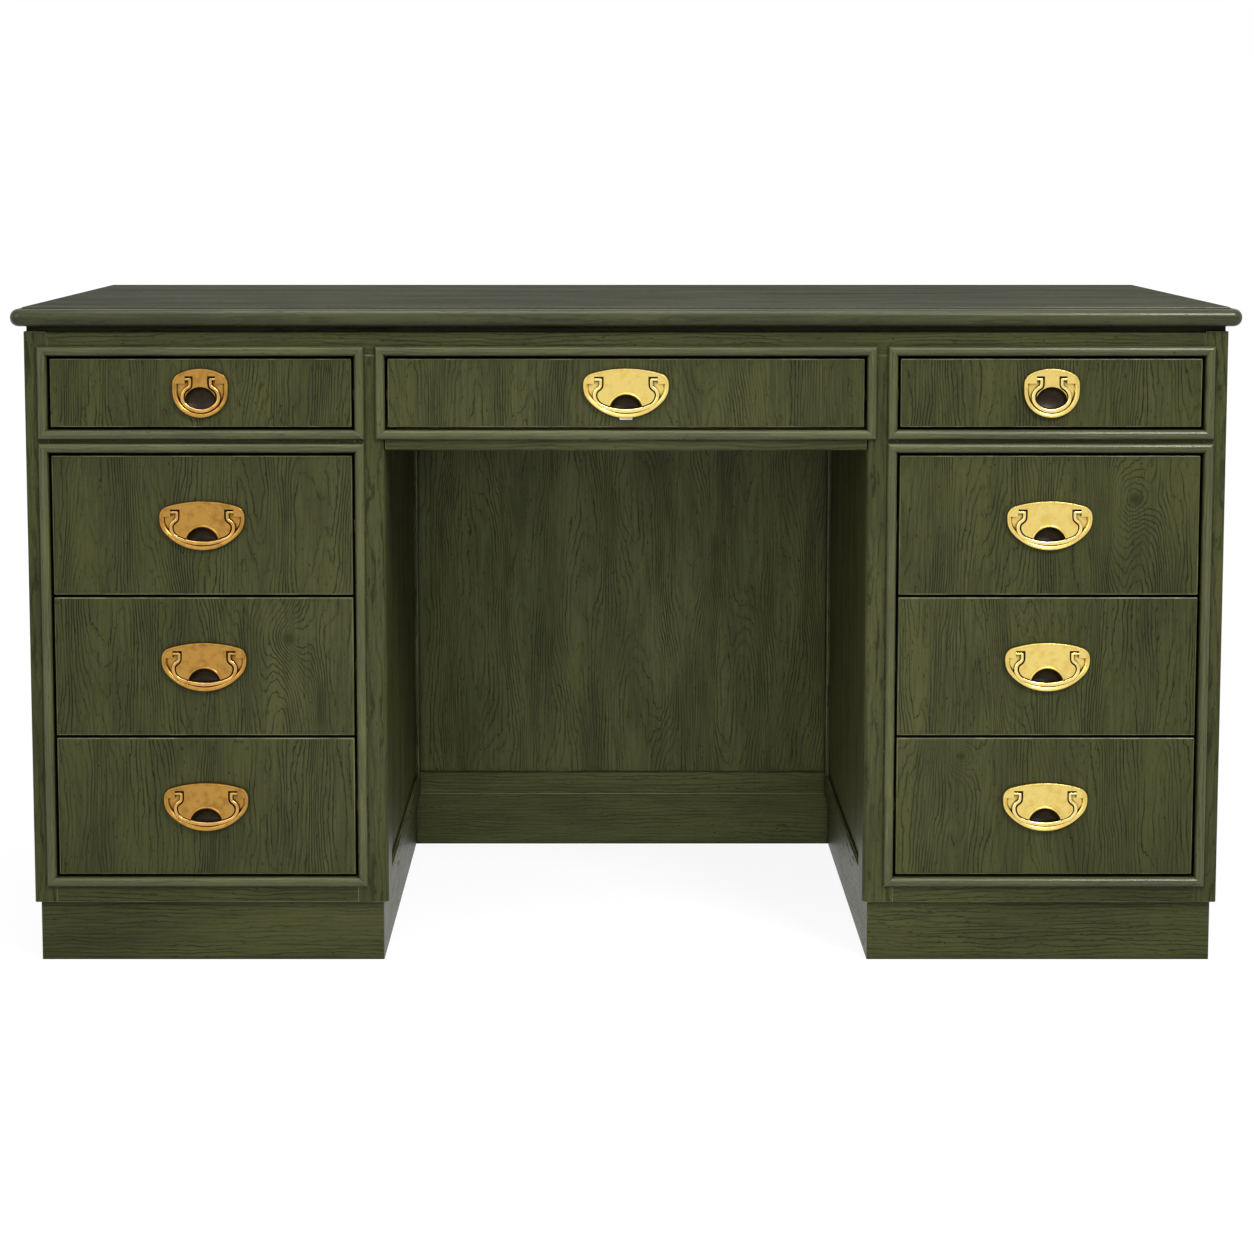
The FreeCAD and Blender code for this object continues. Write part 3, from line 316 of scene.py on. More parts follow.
    # Dark marks: the ring lines, open pores, worm holes and the cores of knots.
    pore_place = add(tree, "ShaderNodeVectorMath", {0: place, 1: scale_of(*PORES)},
                     operation="MULTIPLY")
    pore_noise = add(tree, "ShaderNodeTexNoise", {
        "Vector": pore_place.outputs[0], "Scale": 1.0, "Detail": 0.0})
    pores = add(tree, "ShaderNodeMapRange", {
        "Value": pore_noise.outputs["Fac"], "From Min": 0.70, "From Max": 0.80, "To Max": 0.7},
        interpolation_type="SMOOTHSTEP")
    cell_across, cell_along = (size * MM for size in WORM_CELLS)
    sideways = add(tree, "ShaderNodeVectorMath", {
        0: place, 1: (1 / cell_across, 3 / cell_across, 0)}, operation="DOT_PRODUCT")
    lengthways = add(tree, "ShaderNodeVectorMath", {0: place, 1: (0, 0, 1 / cell_along)},
                     operation="DOT_PRODUCT")
    spots = add(tree, "ShaderNodeCombineXYZ", {
        0: sideways.outputs["Value"], 1: lengthways.outputs["Value"]})
    nearest = add(tree, "ShaderNodeTexVoronoi", {"Vector": spots.outputs[0], "Scale": 1.0},
                  voronoi_dimensions="2D")
    holes = add(tree, "ShaderNodeMapRange", {
        "Value": nearest.outputs["Distance"], "From Min": 0.021, "From Max": 0.010, "To Max": 0.95},
        interpolation_type="SMOOTHSTEP")
    chosen = add(tree, "ShaderNodeMath", {0: nearest.outputs["Color"], 1: 0.5},
                 operation="GREATER_THAN")
    holes = add(tree, "ShaderNodeMath", {0: holes.outputs[0], 1: chosen.outputs[0]},
                operation="MULTIPLY")
    marks = add(tree, "ShaderNodeMath", {0: line.outputs[0], 1: pores.outputs[0]},
                operation="MAXIMUM")
    marks = add(tree, "ShaderNodeMath", {0: marks.outputs[0], 1: holes.outputs[0]},
                operation="MAXIMUM").outputs[0]
    for across, along, radius in knots:
        from_knot = add(tree, "ShaderNodeVectorMath", {0: place, 1: (across * MM, 0, along * MM)},
                        operation="SUBTRACT")
        disc = add(tree, "ShaderNodeVectorMath", {0: from_knot.outputs[0], 1: (1, 0, 1)},
                   operation="MULTIPLY")
        reach = add(tree, "ShaderNodeVectorMath", {0: disc.outputs[0]}, operation="LENGTH")
        core = add(tree, "ShaderNodeMapRange", {
            "Value": reach.outputs["Value"], "From Min": radius * MM, "From Max": radius * 0.2 * MM,
            "To Max": 0.6}, interpolation_type="SMOOTHSTEP")
        marks = add(tree, "ShaderNodeMath", {0: marks, 1: core.outputs[0]},
                    operation="MAXIMUM").outputs[0]
    stained = add(tree, "ShaderNodeMix", {0: marks, 6: ground, 7: srgb(mark)}, data_type="RGBA")

    # Ambient occlusion darkens the corners where boards meet towards the mark colour: painted
    # shade. The marks are duller than the wax on the flat, and lie under it.
    corner_occlusion = add(tree, "ShaderNodeAmbientOcclusion", {"Distance": 7 * MM}, samples=4)
    painted_corner_shade = add(tree, "ShaderNodeMapRange", {
        "Value": corner_occlusion.outputs["AO"], "From Min": 0.86, "From Max": 0.5, "To Max": 0.85},
        interpolation_type="SMOOTHSTEP")
    corner_shaded_stain = add(tree, "ShaderNodeMix", {0: painted_corner_shade.outputs[0], 6: stained.outputs[2], 7: srgb(mark)},
                 data_type="RGBA")
    tree.links.new(corner_shaded_stain.outputs[2], shader.inputs["Base Color"])
    waxed = add(tree, "ShaderNodeMapRange", {
        "Value": marks, "To Min": rough, "To Max": rough + 0.25})
    tree.links.new(waxed.outputs[0], shader.inputs["Roughness"])
    height = add(tree, "ShaderNodeMath", {0: marks, 1: -0.8, 2: streaks.outputs["Fac"]},
                 operation="MULTIPLY_ADD")
    relief = add(tree, "ShaderNodeBump", {
        "Strength": 0.3, "Distance": 0.2 * MM, "Height": height.outputs[0]})
    tree.links.new(relief.outputs[0], shader.inputs["Normal"])
    shader.inputs["Specular IOR Level"].default_value = gloss
    return material


GREEN_PALE, GREEN_DEEP, GREEN_MARK = "#4C4E2D", "#373920", "#15160A"
green_oak = stained_oak("green_stained_oak", GREEN_PALE, GREEN_DEEP, GREEN_MARK)
green_oak_straight = stained_oak("green_stained_oak_straight", GREEN_PALE, GREEN_DEEP, GREEN_MARK,
                                 pitch=5.0, figure=4.0, lines=0.8)
green_oak_worn = stained_oak("green_stained_oak_worn", GREEN_PALE, GREEN_DEEP, GREEN_MARK,
                             pitch=5.0, figure=4.0, lines=0.4, worn="#7B7B53", rough=0.28,
                             gloss=0.35)


def solid_faces(mesh):
    """The faces of each solid of a CAD node. They follow one another, and a solid ends where every
    edge so far has met its other side."""
    solids, faces, open_edges = [], [], set()
    corners = [tuple(round(c * 1e6) for c in v.co) for v in mesh.vertices]
    for face in mesh.polygons:
        faces.append(face.index)
        loop = [corners[n] for n in face.vertices]
        for edge in zip(loop, loop[1:] + loop[:1]):
            if edge[::-1] in open_edges:
                open_edges.remove(edge[::-1])
            else:
                open_edges.add(edge)
        if not open_edges:
            solids.append(faces)
            faces = []
    if faces:
        solids.append(faces)
    return solids


SHARP = math.radians(35)


def join_facets(shape, near):
    """Merges the corners of a copied CAD mesh that lie together, and the triangles of its flats."""
    bmesh.ops.remove_doubles(shape, verts=shape.verts, dist=near)
    bmesh.ops.dissolve_limit(shape, angle_limit=math.radians(0.5), verts=shape.verts,
                             edges=shape.edges, delimit=set())


def arrises(shape, angle=SHARP):
    """The edges at which a shape turns outwards by more than an angle."""
    return [e for e in shape.edges if e.is_manifold and e.is_convex and e.calc_face_angle() > angle]


def ease(shape, edges, offset, segments=2):
    """Rounds edges, and gives the faces that this makes."""
    return bmesh.ops.bevel(shape, geom=edges, offset=offset, offset_type="OFFSET",
                           segments=segments, profile=0.5, affect="EDGES", clamp_overlap=True,
                           material=-1)["faces"]


def smooth_piece(shape, name, materials, sharp):
    """An object of a finished shape, smooth but for the edges that turn by more than an angle."""
    for face in shape.faces:
        face.smooth = True
    for edge in shape.edges:
        edge.smooth = not (edge.is_manifold and edge.calc_face_angle() > sharp)
    mesh = bpy.data.meshes.new(name)
    shape.to_mesh(mesh)
    shape.free()
    for material in materials:
        mesh.materials.append(material)
    piece = bpy.data.objects.new(name, mesh)
    bpy.context.scene.collection.objects.link(piece)
    evened = piece.modifiers.new("flat_faces", "WEIGHTED_NORMAL")
    evened.keep_sharp = True
    evened.weight = 100
    return piece


NEXT_BOARD, NEXT_PIECE = 0.37, 0.71  # metres through the log


def boards(name, node, materials, arris=0.6, along=None, seed=0.0):
    """Dresses a node's boards: each keeps its shape, its arrises are eased by a width in mm and get
    the second material, and it gets its own place in the log, with Z along its length or along the
    axis named."""
    source = frame["nodes"][node].data
    whole, starts, places = bmesh.new(), [0], []
    for number, faces in enumerate(solid_faces(source)):
        board = bmesh.new()
        board.from_mesh(source)
        keep = set(faces)
        others = [f for f in board.faces if f.index not in keep]
        bmesh.ops.delete(board, geom=others, context="FACES")
        join_facets(board, 0.01 * MM)
        for face in ease(board, arrises(board), arris * MM):
            face.material_index = 1
        low = Vector([min(v.co[n] for v in board.verts) for n in range(3)])
        high = Vector([max(v.co[n] for v in board.verts) for n in range(3)])
        size = high - low
        order = sorted(range(3), key=lambda n: size[n])
        if along is not None:
            order.remove(along)
            order.append(along)
        places.append(((low + high) / 2, (order[1], order[0], order[2]),
                       seed + NEXT_BOARD * number))
        part_mesh = bpy.data.meshes.new("board")
        board.to_mesh(part_mesh)
        whole.from_mesh(part_mesh)
        bpy.data.meshes.remove(part_mesh)
        board.free()
        starts.append(len(whole.verts))
    piece = smooth_piece(whole, name, materials, SHARP)
    mesh = piece.data
    co = np.empty(len(mesh.vertices) * 3)
    mesh.vertices.foreach_get("co", co)
    co = co.reshape(-1, 3)
    grain = np.empty_like(co)
    for start, end, (middle, axes, shift) in zip(starts, starts[1:], places):
        grain[start:end] = (co[start:end] - np.array(middle))[:, axes] + (0, shift, 0)
    mesh.attributes.new("grain", "FLOAT_VECTOR", "POINT").data.foreach_set("vector", grain.ravel())
    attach(piece, body_of(frame["nodes"][node])[0])
    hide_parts(node)
    return piece


# The flat field of the top has lost its wax to years of use, so it is nearly matt. Its greyer
# colour is a painted reflection of the pale surround. The nosing, which sleeves rub, is smooth and
# shines.
matt_sheen_oak = stained_oak("green_stained_oak_matt_painted_sheen", "#484A3B", "#33352B", GREEN_MARK, rough=0.7,
                       gloss=0.02)
nosing_oak = stained_oak("green_stained_oak_polished", "#434525", "#303218", GREEN_MARK, pitch=5.0,
                         figure=4.0, lines=0.7, rough=0.26, gloss=0.3)
slab = boards("desktop_slab", "desktop", (nosing_oak, nosing_oak, matt_sheen_oak), arris=0.5, seed=1.3)
for face in slab.data.polygons:
    if face.normal.z > 0.999 and face.material_index == 0:
        face.material_index = 2

# ---------------------------------------------------------------------------------------------
# Neck. Four strips of the same oak, glued between the carcass and the desktop, set back so that a
# dark line shows under the nosing. Their oak is painted nearly black, as the shadow under the
# nosing.
neck_shadow_oak = stained_oak("painted_shadow_oak", "#202112", "#15160B", "#0B0C05", pitch=5.0, figure=4.0,
                       rough=0.6, gloss=0.1)
boards("neck_strips", "neck_frame", (neck_shadow_oak, neck_shadow_oak), seed=2.1)

# ---------------------------------------------------------------------------------------------
# Side frames. Each pedestal stands between two frames of posts and rails, tenoned together and
# grooved for their panels. Their wood is straight-grained, and their arrises are rubbed.
STRAIGHT = (green_oak_straight, green_oak_worn)
for number, node in enumerate(("left_outer_frame", "right_outer_frame", "left_knee_frame",
                               "right_knee_frame")):
    boards(node + "_oak", node, STRAIGHT, seed=3.0 + NEXT_PIECE * number)

# ---------------------------------------------------------------------------------------------
# Rails. One long rail over the upper drawers, one over the kneehole, those across the back, and
# two in the front of each pedestal, all tenoned into the posts. The long one's arris is rounder.
for number, node in enumerate(("front_top_rail", "knee_rail", "back_rails", "left_front_rails",
                               "right_front_rails")):
    boards(node + "_oak", node, STRAIGHT, seed=7.0 + NEXT_PIECE * number,
           arris=1.4 if node == "front_top_rail" else 0.6)

# ---------------------------------------------------------------------------------------------
# Panels. Thin boards with upright grain, held loose in grooves: in the side frames, in the backs of
# the pedestals and in the back of the kneehole.
UPRIGHT = 2  # the Z axis
for number, node in enumerate(("left_side_panels", "right_side_panels", "pedestal_backs",
                               "knee_back_panel")):
    boards(node + "_oak", node, (green_oak, green_oak_worn), seed=17.0 + NEXT_PIECE * number,
           along=UPRIGHT)

# ---------------------------------------------------------------------------------------------
# Plinths. Boards mitred round the foot of each pedestal, set back a little, and one across the back
# of the kneehole.
for number, node in enumerate(("left_plinth", "right_plinth", "knee_plinth")):
    boards(node + "_oak", node, STRAIGHT, seed=12.0 + NEXT_PIECE * number)

# ---------------------------------------------------------------------------------------------
# Beads. Half-round mouldings, mitred at the corners and glued round the drawer openings. Their
# oak is paler than the flat boards', partly rubbed and partly a painted highlight for the light on
# their crests.
bead_highlit_oak = stained_oak("green_stained_oak_bead_painted_highlight", "#5A5C35", "#444627", GREEN_MARK, pitch=4.0,
                       figure=2.0, lines=0.6, rough=0.24, gloss=0.38)
for number, node in enumerate(("left_beads", "right_beads", "centre_beads")):
    boards(node + "_oak", node, (bead_highlit_oak, green_oak_worn), seed=14.0 + NEXT_PIECE * number,
           arris=0.35)

# ---------------------------------------------------------------------------------------------
# Drawer fronts. Solid oak boards with upright grain and a narrow gap all round. Three have a knot,
# whose place is given in millimetres from the board's middle, across and up, with its radius.
DRAWERS = ("left_top", "left_upper", "left_middle", "left_lower", "centre", "right_top",
           "right_upper", "right_middle", "right_lower")
KNOTS = {"left_middle": (97, 32, 11.0), "right_upper": (99, 30, 11.5),
         "right_lower": (-97, 59, 7.0)}
for number, drawer in enumerate(DRAWERS):
    face_oak = green_oak
    if drawer in KNOTS:
        face_oak = stained_oak("green_stained_oak_knot_" + drawer, GREEN_PALE, GREEN_DEEP,
                               GREEN_MARK, knots=[KNOTS[drawer]])
    boards(drawer + "_front_board", drawer + "_drawer_front", (face_oak, green_oak_worn),
           seed=23.0 + NEXT_PIECE * number, along=UPRIGHT)

# ---------------------------------------------------------------------------------------------
# Inside. Drawer boxes, runners, dust boards and corner blocks of planed oak, left bare.
bare_oak = stained_oak("bare_oak", "#B89A6C", "#A08254", "#6E5433", pitch=5.0, figure=4.0,
                       rough=0.6, lines=0.55)
for number, node in enumerate(["pedestal_shelves", "corner_blocks", "drawer_runners"]
                              + [drawer + "_drawer_box" for drawer in DRAWERS]):
    boards(node + "_oak", node, (bare_oak, bare_oak),
           seed=41.0 + NEXT_PIECE * number)

# ---------------------------------------------------------------------------------------------
# Pull plates. Cast brass, let into the drawer front: a rounded rim that swells towards its foot, a
# flat field, a recess and slots for the bail, and a bowl for the fingertips. The left pedestal's
# have darkened with age. The centre one has a small nickel-plated lip at its foot.
MOTTLE, FILE_MARKS, BLOTCHES = 9, 1.6, 6  # mm; file marks are drawn coarser than the real ones


def cast_brass(name, bright, aged, dirt_and_shade, rough):
    """Cast and filed brass: its flats and edges are rubbed bright, it is mottled with a browner
    tone, and ambient occlusion blackens its slots and the hollows beside the bail, partly for old
    polish and dirt and partly as painted shade."""
    material = bpy.data.materials.new(name)
    material.use_nodes = True
    tree = material.node_tree
    shader = tree.nodes["Principled BSDF"]
    place = add(tree, "ShaderNodeTexCoord").outputs["Object"]
    mottle = add(tree, "ShaderNodeTexNoise", {
        "Vector": place, "Scale": 1 / (MOTTLE * MM), "Detail": 3.0, "Roughness": 0.6})
    tarnished = add(tree, "ShaderNodeMapRange", {
        "Value": mottle.outputs["Fac"], "From Min": 0.42, "From Max": 0.72, "To Max": 0.8},
        interpolation_type="SMOOTHSTEP")
    metal = add(tree, "ShaderNodeMix", {0: tarnished.outputs[0], 6: srgb(bright), 7: srgb(aged)},
                data_type="RGBA")
    # Ambient occlusion blackens the slots and hollows: partly real dirt, partly painted shade.
    corners = add(tree, "ShaderNodeAmbientOcclusion", {"Distance": 6.0 * MM}, samples=8)
    dirtied_and_shaded = add(tree, "ShaderNodeMapRange", {
        "Value": corners.outputs["AO"], "From Min": 0.70, "From Max": 0.42},
        interpolation_type="SMOOTHSTEP")
    colour = add(tree, "ShaderNodeMix", {0: dirtied_and_shaded.outputs[0], 6: metal.outputs[2], 7: srgb(dirt_and_shade)},
                 data_type="RGBA")
    tree.links.new(colour.outputs[2], shader.inputs["Base Color"])
    gloss = add(tree, "ShaderNodeMapRange", {
        "Value": mottle.outputs["Fac"], "From Min": 0.35, "From Max": 0.7,
        "To Min": rough, "To Max": rough + 0.12})
    tree.links.new(gloss.outputs[0], shader.inputs["Roughness"])
    file_marks = add(tree, "ShaderNodeTexNoise", {
        "Vector": place, "Scale": 1 / (FILE_MARKS * MM), "Detail": 2.0, "Roughness": 0.5})
    relief = add(tree, "ShaderNodeBump", {
        "Strength": 0.2, "Distance": 0.08 * MM, "Height": file_marks.outputs["Fac"]})
    tree.links.new(relief.outputs[0], shader.inputs["Normal"])
    shader.inputs["Metallic"].default_value = 1.0
    return material


antique_brass = cast_brass("antique_cast_brass", "#B38842", "#92682F", "#1C120A", 0.30)
bright_brass = cast_brass("bright_cast_brass", "#E6CC76", "#D8B65F", "#1E140A", 0.26)
worn_nickel = cast_brass("worn_nickel_plate", "#CFCDC4", "#9E998B", "#26221A", 0.24)

# The inside of the bowls is a smooth, nearly black brown, blotched browner.
bowl_dark = bpy.data.materials.new("dark_bowl_brass")
bowl_dark.use_nodes = True
bowl_tree = bowl_dark.node_tree
bowl_shader = bowl_tree.nodes["Principled BSDF"]
blotches = add(bowl_tree, "ShaderNodeTexNoise", {
    "Vector": add(bowl_tree, "ShaderNodeTexCoord").outputs["Object"],
    "Scale": 1 / (BLOTCHES * MM), "Detail": 3.0})
browned = add(bowl_tree, "ShaderNodeMix", {
    0: blotches.outputs["Fac"], 6: srgb("#18130A"), 7: srgb("#3A2D14")}, data_type="RGBA")
bowl_tree.links.new(browned.outputs[2], bowl_shader.inputs["Base Color"])
bowl_shader.inputs["Roughness"].default_value = 0.42
bowl_shader.inputs["Specular IOR Level"].default_value = 0.2

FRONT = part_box("left_top_drawer_front")[0][1]
PLATE_PROUD, FIELD_DROP, FLOOR_PROUD, CUP_DEPTH = 5.0 * MM, 0.6 * MM, 0.5 * MM, 10.0 * MM
RIM_ROUND, FIELD_ROUND = 0.95 * MM, 0.5 * MM
CAST_SHARP = math.radians(42)
NEAR = 0.05 * MM


def pattern_of(drawer):
    return "small" if drawer in ("left_top", "right_top") else "wide"


def middle_of_front(drawer):
    low, high = (Vector(corner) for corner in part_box(drawer + "_drawer_front"))
    return (low + high) / 2


def at_depth(edge, y):
    return all(abs(v.co.y - y) < NEAR for v in edge.verts)


def points_in(made):
    return [g for g in made if isinstance(g, bmesh.types.BMVert)]


def edges_in(made):
    return [g for g in made if isinstance(g, bmesh.types.BMEdge)]


def edges_round(ring):
    """The edges that join the points of a ring."""
    edges = dict.fromkeys(e for v in ring for e in v.link_edges)
    return [e for e in edges if all(v in ring for v in e.verts)]


def finish_casting(shape, name, materials, body, node):
    """Makes an object of a finished casting, attaches it to the body it rides on, and hides the
    node it stands for.
    """
    piece = smooth_piece(shape, name, materials, CAST_SHARP)
    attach(piece, body)
    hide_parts(node)


SHORT_STEP = 16 * MM  # longer steps of an outline are straight sides


def round_outlines(shape):
    """Halves the short steps of each curved outline, and moves each new point out to the curve that
    turns as the outline does at the ends of its step. An arc that turns by an angle stands an
    eighth of that angle times its length off its chord, and each end sees half of the turn."""
    steps = [e for e in shape.edges if e.is_manifold and e.calc_face_angle() > SHARP
             and at_depth(e, e.verts[0].co.y) and e.calc_length() < SHORT_STEP]
    outline = set(steps)
    places = []
    for edge in steps:
        ends, halfway = tuple(edge.verts), (edge.verts[0].co + edge.verts[1].co) / 2
        bulge = Vector()
        for near, other in (ends, ends[::-1]):
            beyond = [e.other_vert(near) for e in near.link_edges if e in outline and e is not edge]
            if len(beyond) == 1:
                before, ahead = near.co - beyond[0].co, other.co - near.co
                if before.angle(ahead) < SHARP:
                    bulge += (before.normalized() - ahead.normalized()) * ahead.length / 16
        places.append((halfway, halfway + bulge))
    for point in points_in(bmesh.ops.subdivide_edges(shape, edges=steps, cuts=1)["geom_inner"]):
        old, new = min(places, key=lambda pair: (pair[0] - point.co).length)
        if (old - point.co).length < NEAR:
            point.co = new


# How high the ledges lie over the plate's middle, with 0.2 mm for the swelling to run into them.
LEDGE = {"wide": 10.7 * MM, "small": 11.2 * MM}
RIM_TOP = 7.5 * MM  # the rim's foot is followed up to here over the plate's middle
STEEP = 0.7  # how far sideways a wall has to face to be followed above the plate's middle


def foot_of_rim(shape, middle, ledge):
    """The points along the foot of the rim's inner wall, from the left ledge round to the right."""
    foot = set()
    for edge in shape.edges:
        if edge.is_manifold and not edge.is_convex and at_depth(edge, FRONT - FLOOR_PROUD):
            place = (edge.verts[0].co + edge.verts[1].co) / 2 - middle
            wall = min(edge.link_faces, key=lambda f: abs(f.normal.y)).normal
            if place.z < RIM_TOP and wall.dot(place) < 0 and (place.z < 0 or abs(wall.x) > STEEP):
                foot.update(edge.verts)
    path = [v.co.copy() for v in sorted(
        foot, key=lambda v: math.atan2(v.co.x - middle.x, middle.z - v.co.z))]
    ends = [Vector((end.x, end.y, middle.z + ledge)) for end in (path[0], path[-1])]
    return ends[:1] + path + ends[1:]


# The section of the rim's swelling, in mm in from the rim's wall and up from the recess.
SWELL = ((-0.4, -0.2), (3.3, -0.2), (3.2, 0.7), (2.8, 1.6), (2.1, 2.5), (1.2, 3.2), (0.3, 3.6),
         (-0.4, 3.7))


def swell_the_rim(shape, path):
    """Draws the rim's swelling along a path."""
    inward = []
    for before, after in zip(path[:1] + path[:-1], path[1:] + path[-1:]):
        along = (after - before).normalized()
        inward.append(Vector((-along.z, 0, along.x)))
    ring = [shape.verts.new(path[0] + inward[0] * (across * MM) - Vector((0, up * MM, 0)))
            for across, up in SWELL]
    edges = [shape.edges.new(pair) for pair in zip(ring, ring[1:] + ring[:1])]
    bmesh.ops.contextual_create(shape, geom=edges)
    for start, end, old, new in zip(path, path[1:], inward, inward[1:]):
        grown = bmesh.ops.extrude_edge_only(shape, edges=edges)["geom"]
        ring = points_in(grown)
        edges = [e for e in edges_in(grown) if all(v in ring for v in e.verts)]
        turn = old.rotation_difference(new).to_matrix().to_4x4()
        bmesh.ops.transform(shape, verts=ring,
                            matrix=Matrix.Translation(end) @ turn @ Matrix.Translation(-start))
    bmesh.ops.contextual_create(shape, geom=edges)


LIP_FOOT, LIP_PROUD, LIP_CORNER, LIP_ROUND = -29.0 * MM, 2.0 * MM, 2.2 * MM, 0.6 * MM


def round_the_lip(shape, foot):
    """Rounds the corners of the lip below the plate's foot, then its front edge, and plates it."""
    for upright, amount, segments in ((True, LIP_CORNER, 4), (False, LIP_ROUND, 2)):
        ease(shape, [e for e in arrises(shape, SHARP / 3) if any(v.co.z < foot for v in e.verts)
                     and (abs(e.verts[0].co.y - e.verts[1].co.y) > MM if upright
                          else at_depth(e, FRONT - LIP_PROUD))], amount, segments)
    for face in shape.faces:
        if any(v.co.z < foot for v in face.verts):
            face.material_index = 2


# The bowl's rings, each as a share of its mouth and at a depth behind the wood's face.
BOWL_RINGS = ((0.985, 1.0 * MM), (0.93, 4.0 * MM), (0.82, 6.6 * MM), (0.64, 8.5 * MM),
              (0.36, 9.6 * MM))
CUP_REACH = 30 * MM


def hollow_the_bowl(shape, middle):
    """Takes out the cup's flat-ended inside, and draws its mouth back into a nearly black bowl."""
    cup_end = FRONT + CUP_DEPTH
    inside = [f for f in shape.faces if any(abs(v.co.y - cup_end) < NEAR for v in f.verts)]
    bmesh.ops.delete(shape, geom=inside, context="FACES")
    rim = [e for e in shape.edges if e.is_boundary]
    mouth = {v for e in rim for v in e.verts}
    centre = Vector((middle.x, 0, (min(v.co.z for v in mouth) + max(v.co.z for v in mouth)) / 2))
    scaled = 1.0
    for share, depth in BOWL_RINGS:
        grown = bmesh.ops.extrude_edge_only(shape, edges=rim)["geom"]
        ring = points_in(grown)
        rim = [e for e in edges_in(grown) if e.is_boundary]
        centre.y = FRONT + depth
        bmesh.ops.scale(shape, verts=ring, vec=(share / scaled, 0, share / scaled),
                        space=Matrix.Translation(-centre))
        scaled = share
        for vertex in ring:
            for face in vertex.link_faces:
                face.material_index = 1
    ring = points_in(bmesh.ops.extrude_edge_only(shape, edges=rim)["geom"])
    bmesh.ops.pointmerge(shape, verts=ring, merge_co=Vector((centre.x, cup_end, centre.z)))
    for face in shape.faces:
        if min(v.co.y for v in face.verts) > FRONT + 0.5 * MM and face.normal.y < 0.3:
            if all((v.co - middle).length < CUP_REACH for v in face.verts):
                face.material_index = 1


# The arch over the fingers of a wide pull, with its centre's height over the plate's middle.
ARCH_RADIUS, ARCH_CENTRE = 19.25 * MM, -20.75 * MM
ROLL_RADIUS, ROLL_HALF = 1.25 * MM, math.radians(69)


def roll_round_the_arch(shape, middle):
    """Adds the raised roll on the field along the arch."""
    centre = Vector((middle.x, FRONT - PLATE_PROUD + FIELD_DROP, middle.z + ARCH_CENTRE))
    ring = bmesh.ops.create_circle(
        shape, segments=10, radius=ROLL_RADIUS, cap_ends=False,
        matrix=Matrix.Translation(centre + Vector((0, 0, ARCH_RADIUS + ROLL_RADIUS)))
        @ Matrix.Rotation(math.radians(90), 4, "Y"))["verts"]
    bmesh.ops.rotate(shape, verts=ring, cent=centre, matrix=Matrix.Rotation(-ROLL_HALF, 3, "Y"))
    sides = edges_round(ring)
    bmesh.ops.contextual_create(shape, geom=sides)
    roll = bmesh.ops.spin(shape, geom=ring + sides, cent=centre, axis=(0, 1, 0),
                          angle=2 * ROLL_HALF, steps=24, use_duplicate=False)
    bmesh.ops.contextual_create(shape, geom=edges_in(roll["geom_last"]))


for drawer in DRAWERS:
    pattern, middle = pattern_of(drawer), middle_of_front(drawer)
    node = drawer + "_pull_plate"
    shape = bmesh.new()
    shape.from_mesh(frame["nodes"][node].data)
    join_facets(shape, 0.002 * MM)
    round_outlines(shape)
    for y, amount, segments in ((FRONT - PLATE_PROUD, RIM_ROUND, 4),
                                (FRONT - PLATE_PROUD + FIELD_DROP, FIELD_ROUND, 2)):
        ease(shape, [e for e in arrises(shape) if at_depth(e, y)], amount, segments)
    swell_the_rim(shape, foot_of_rim(shape, middle, LEDGE[pattern]))
    if drawer == "centre":
        round_the_lip(shape, middle.z + LIP_FOOT)
    hollow_the_bowl(shape, middle)
    if pattern == "wide":
        roll_round_the_arch(shape, middle)
    bmesh.ops.recalc_face_normals(shape, faces=shape.faces)
    metal, slot = ((antique_brass, "antique_brass") if drawer.startswith("left")
                   else (bright_brass, "bright_brass"))
    finish_casting(shape, drawer + "_plate_casting", (metal, bowl_dark, worn_nickel),
                   drawer + "_drawer", node)

# ---------------------------------------------------------------------------------------------
# Bails. Swan-necked brass handles, cast round and a little thicker at the foot. A pivot on each
# end points outwards into the plate, and the bail swings up on them. Hands keep it smoother than
# its plate, so it catches the light. Its brass is paler than the plate's, partly from that polish
# and partly as a painted highlight.
antique_handled_highlit = cast_brass("antique_brass_handled_highlit", "#CBA05C", "#AA7C40", "#1C120A", 0.17)
bright_handled_highlit = cast_brass("bright_brass_handled_highlit", "#F0DA90", "#E2C274", "#1E140A", 0.15)
# Each pattern's line in mm about the plate's middle: the widest place and its height, the radius
# there, the foot, the neck's place, foot and bend, the pivot's height, how far the pivot reaches
# out, and how much of that its barrel covers.
BAIL = {
    "wide": {"half_width": 35.8, "side": -2.0, "side_radius": 14.0, "foot": -20.6, "neck": 28.8,
             "neck_foot": 9.8, "bend_radius": 5.0, "pivot": 15.5, "reach": 10.4, "barrel": 7.2},
    "small": {"half_width": 20.8, "side": -5.0, "side_radius": 12.0, "foot": -20.6, "neck": 11.6,
              "neck_foot": 10.0, "bend_radius": 4.0, "pivot": 16.0, "reach": 8.7, "barrel": 5.5},
}
FOOT_WIDTH, NECK_WIDTH, BAIL_THICKNESS, END_ROUND = 4.9, 3.9, 3.8, 0.6
PIVOT_TO_WOOD, PIVOT_RADIUS, BARREL_RADIUS, END_ABOVE_PIVOT = 2.8, 1.1, 1.5, 0.9
SPUN_STEP = math.radians(7)


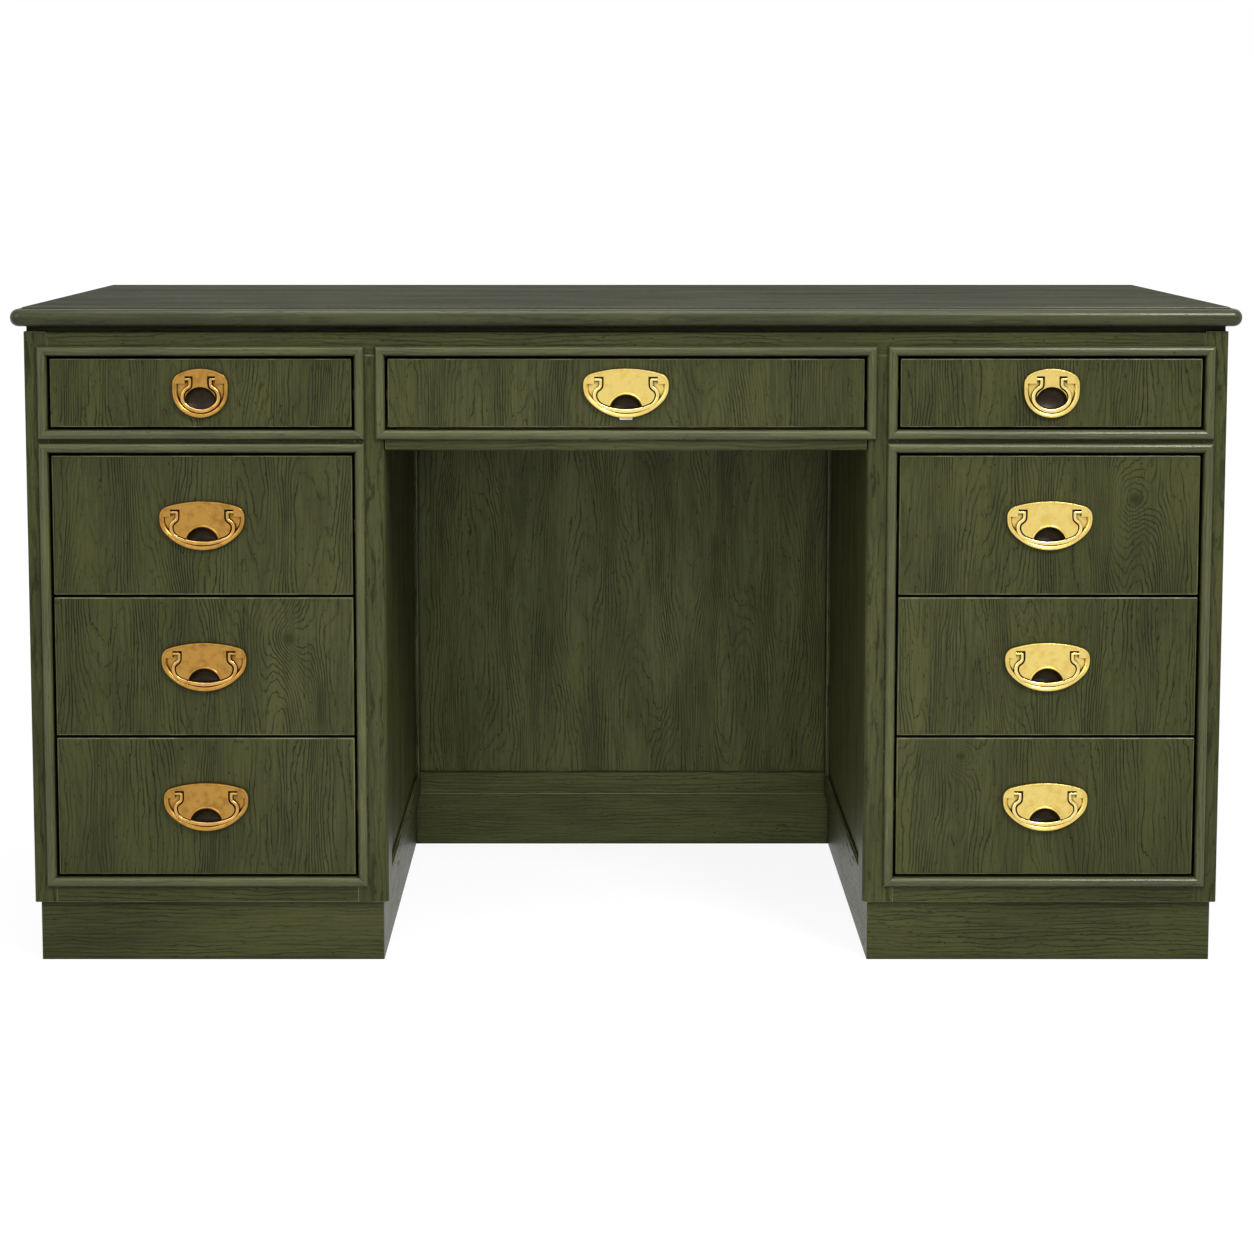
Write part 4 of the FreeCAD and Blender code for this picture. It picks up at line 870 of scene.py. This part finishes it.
def bail_shape(half_width, side, side_radius, foot, neck, neck_foot, bend_radius, pivot, reach,
               barrel):
    """A bail about the middle of its plate, in millimetres: an oval section is spun along four
    tangent arcs and drawn up the neck, and the other half is its mirror."""
    shape = bmesh.new()
    rise = side - foot
    turn = 2 * math.atan((rise - side_radius) / (half_width - side_radius))
    foot_radius = side_radius + (half_width - side_radius) / math.sin(turn)
    swing = 2 * math.atan((half_width - neck) / (neck_foot - side))
    shoulder_radius = (neck_foot - side) / math.sin(swing) - bend_radius
    arcs = (
        ((0, foot + foot_radius), turn),
        ((half_width - side_radius, side), math.pi / 2 - turn),
        ((half_width - shoulder_radius, side), swing),
        ((neck + bend_radius, neck_foot), -swing),
    )
    ring = bmesh.ops.create_circle(
        shape, segments=14, radius=1.0, cap_ends=False,
        matrix=Matrix.Translation((0, -PIVOT_TO_WOOD, foot))
        @ Matrix.Diagonal((1, BAIL_THICKNESS / 2, FOOT_WIDTH / 2, 1))
        @ Matrix.Rotation(math.radians(90), 4, "Y"))["verts"]
    steps = [max(4, round(abs(angle) / SPUN_STEP)) for _, angle in arcs]
    thin = (NECK_WIDTH / FOOT_WIDTH) ** (1 / sum(steps))
    for (centre, angle), count in zip(arcs, steps):
        for _ in range(count):
            spun = bmesh.ops.spin(shape, geom=ring + edges_round(ring),
                                  cent=(centre[0], -PIVOT_TO_WOOD, centre[1]), axis=(0, -1, 0),
                                  angle=angle / count, steps=1, use_duplicate=False)
            ring = points_in(spun["geom_last"])
            place = sum((v.co for v in ring), Vector()) / len(ring)
            bmesh.ops.scale(shape, verts=ring, vec=(thin, thin, thin),
                            space=Matrix.Translation(-place))
    drawn = bmesh.ops.extrude_edge_only(shape, edges=edges_round(ring))["geom"]
    ring = points_in(drawn)
    bmesh.ops.translate(shape, verts=ring, vec=(0, 0, pivot + END_ABOVE_PIVOT - neck_foot))
    edges = [e for e in edges_in(drawn) if all(v in ring for v in e.verts)]
    bmesh.ops.contextual_create(shape, geom=edges)
    ease(shape, edges, END_ROUND)
    for radius, length, segments in ((PIVOT_RADIUS, reach, 12), (BARREL_RADIUS, barrel, 16)):
        bmesh.ops.create_cone(
            shape, cap_ends=True, segments=segments, radius1=radius, radius2=radius, depth=length,
            matrix=Matrix.Translation((neck + length / 2, -PIVOT_TO_WOOD, pivot))
            @ Matrix.Rotation(math.radians(90), 4, "Y"))
    bmesh.ops.mirror(shape, geom=shape.verts[:] + shape.edges[:] + shape.faces[:], merge_dist=0.001,
                     axis="X")
    bmesh.ops.remove_doubles(shape, verts=shape.verts, dist=0.002)
    bmesh.ops.recalc_face_normals(shape, faces=shape.faces)
    return shape


for drawer in DRAWERS:
    middle = middle_of_front(drawer)
    shape = bail_shape(**BAIL[pattern_of(drawer)])
    bmesh.ops.transform(shape, verts=shape.verts, matrix=Matrix.Translation(
        (middle.x, FRONT, middle.z)) @ Matrix.Scale(MM, 4))
    metal, slot = ((antique_handled_highlit, "antique_brass") if drawer.startswith("left")
                   else (bright_handled_highlit, "bright_brass"))
    finish_casting(shape, drawer + "_bail_casting", (metal,), drawer + "_bail",
                   drawer + "_pull_bail")
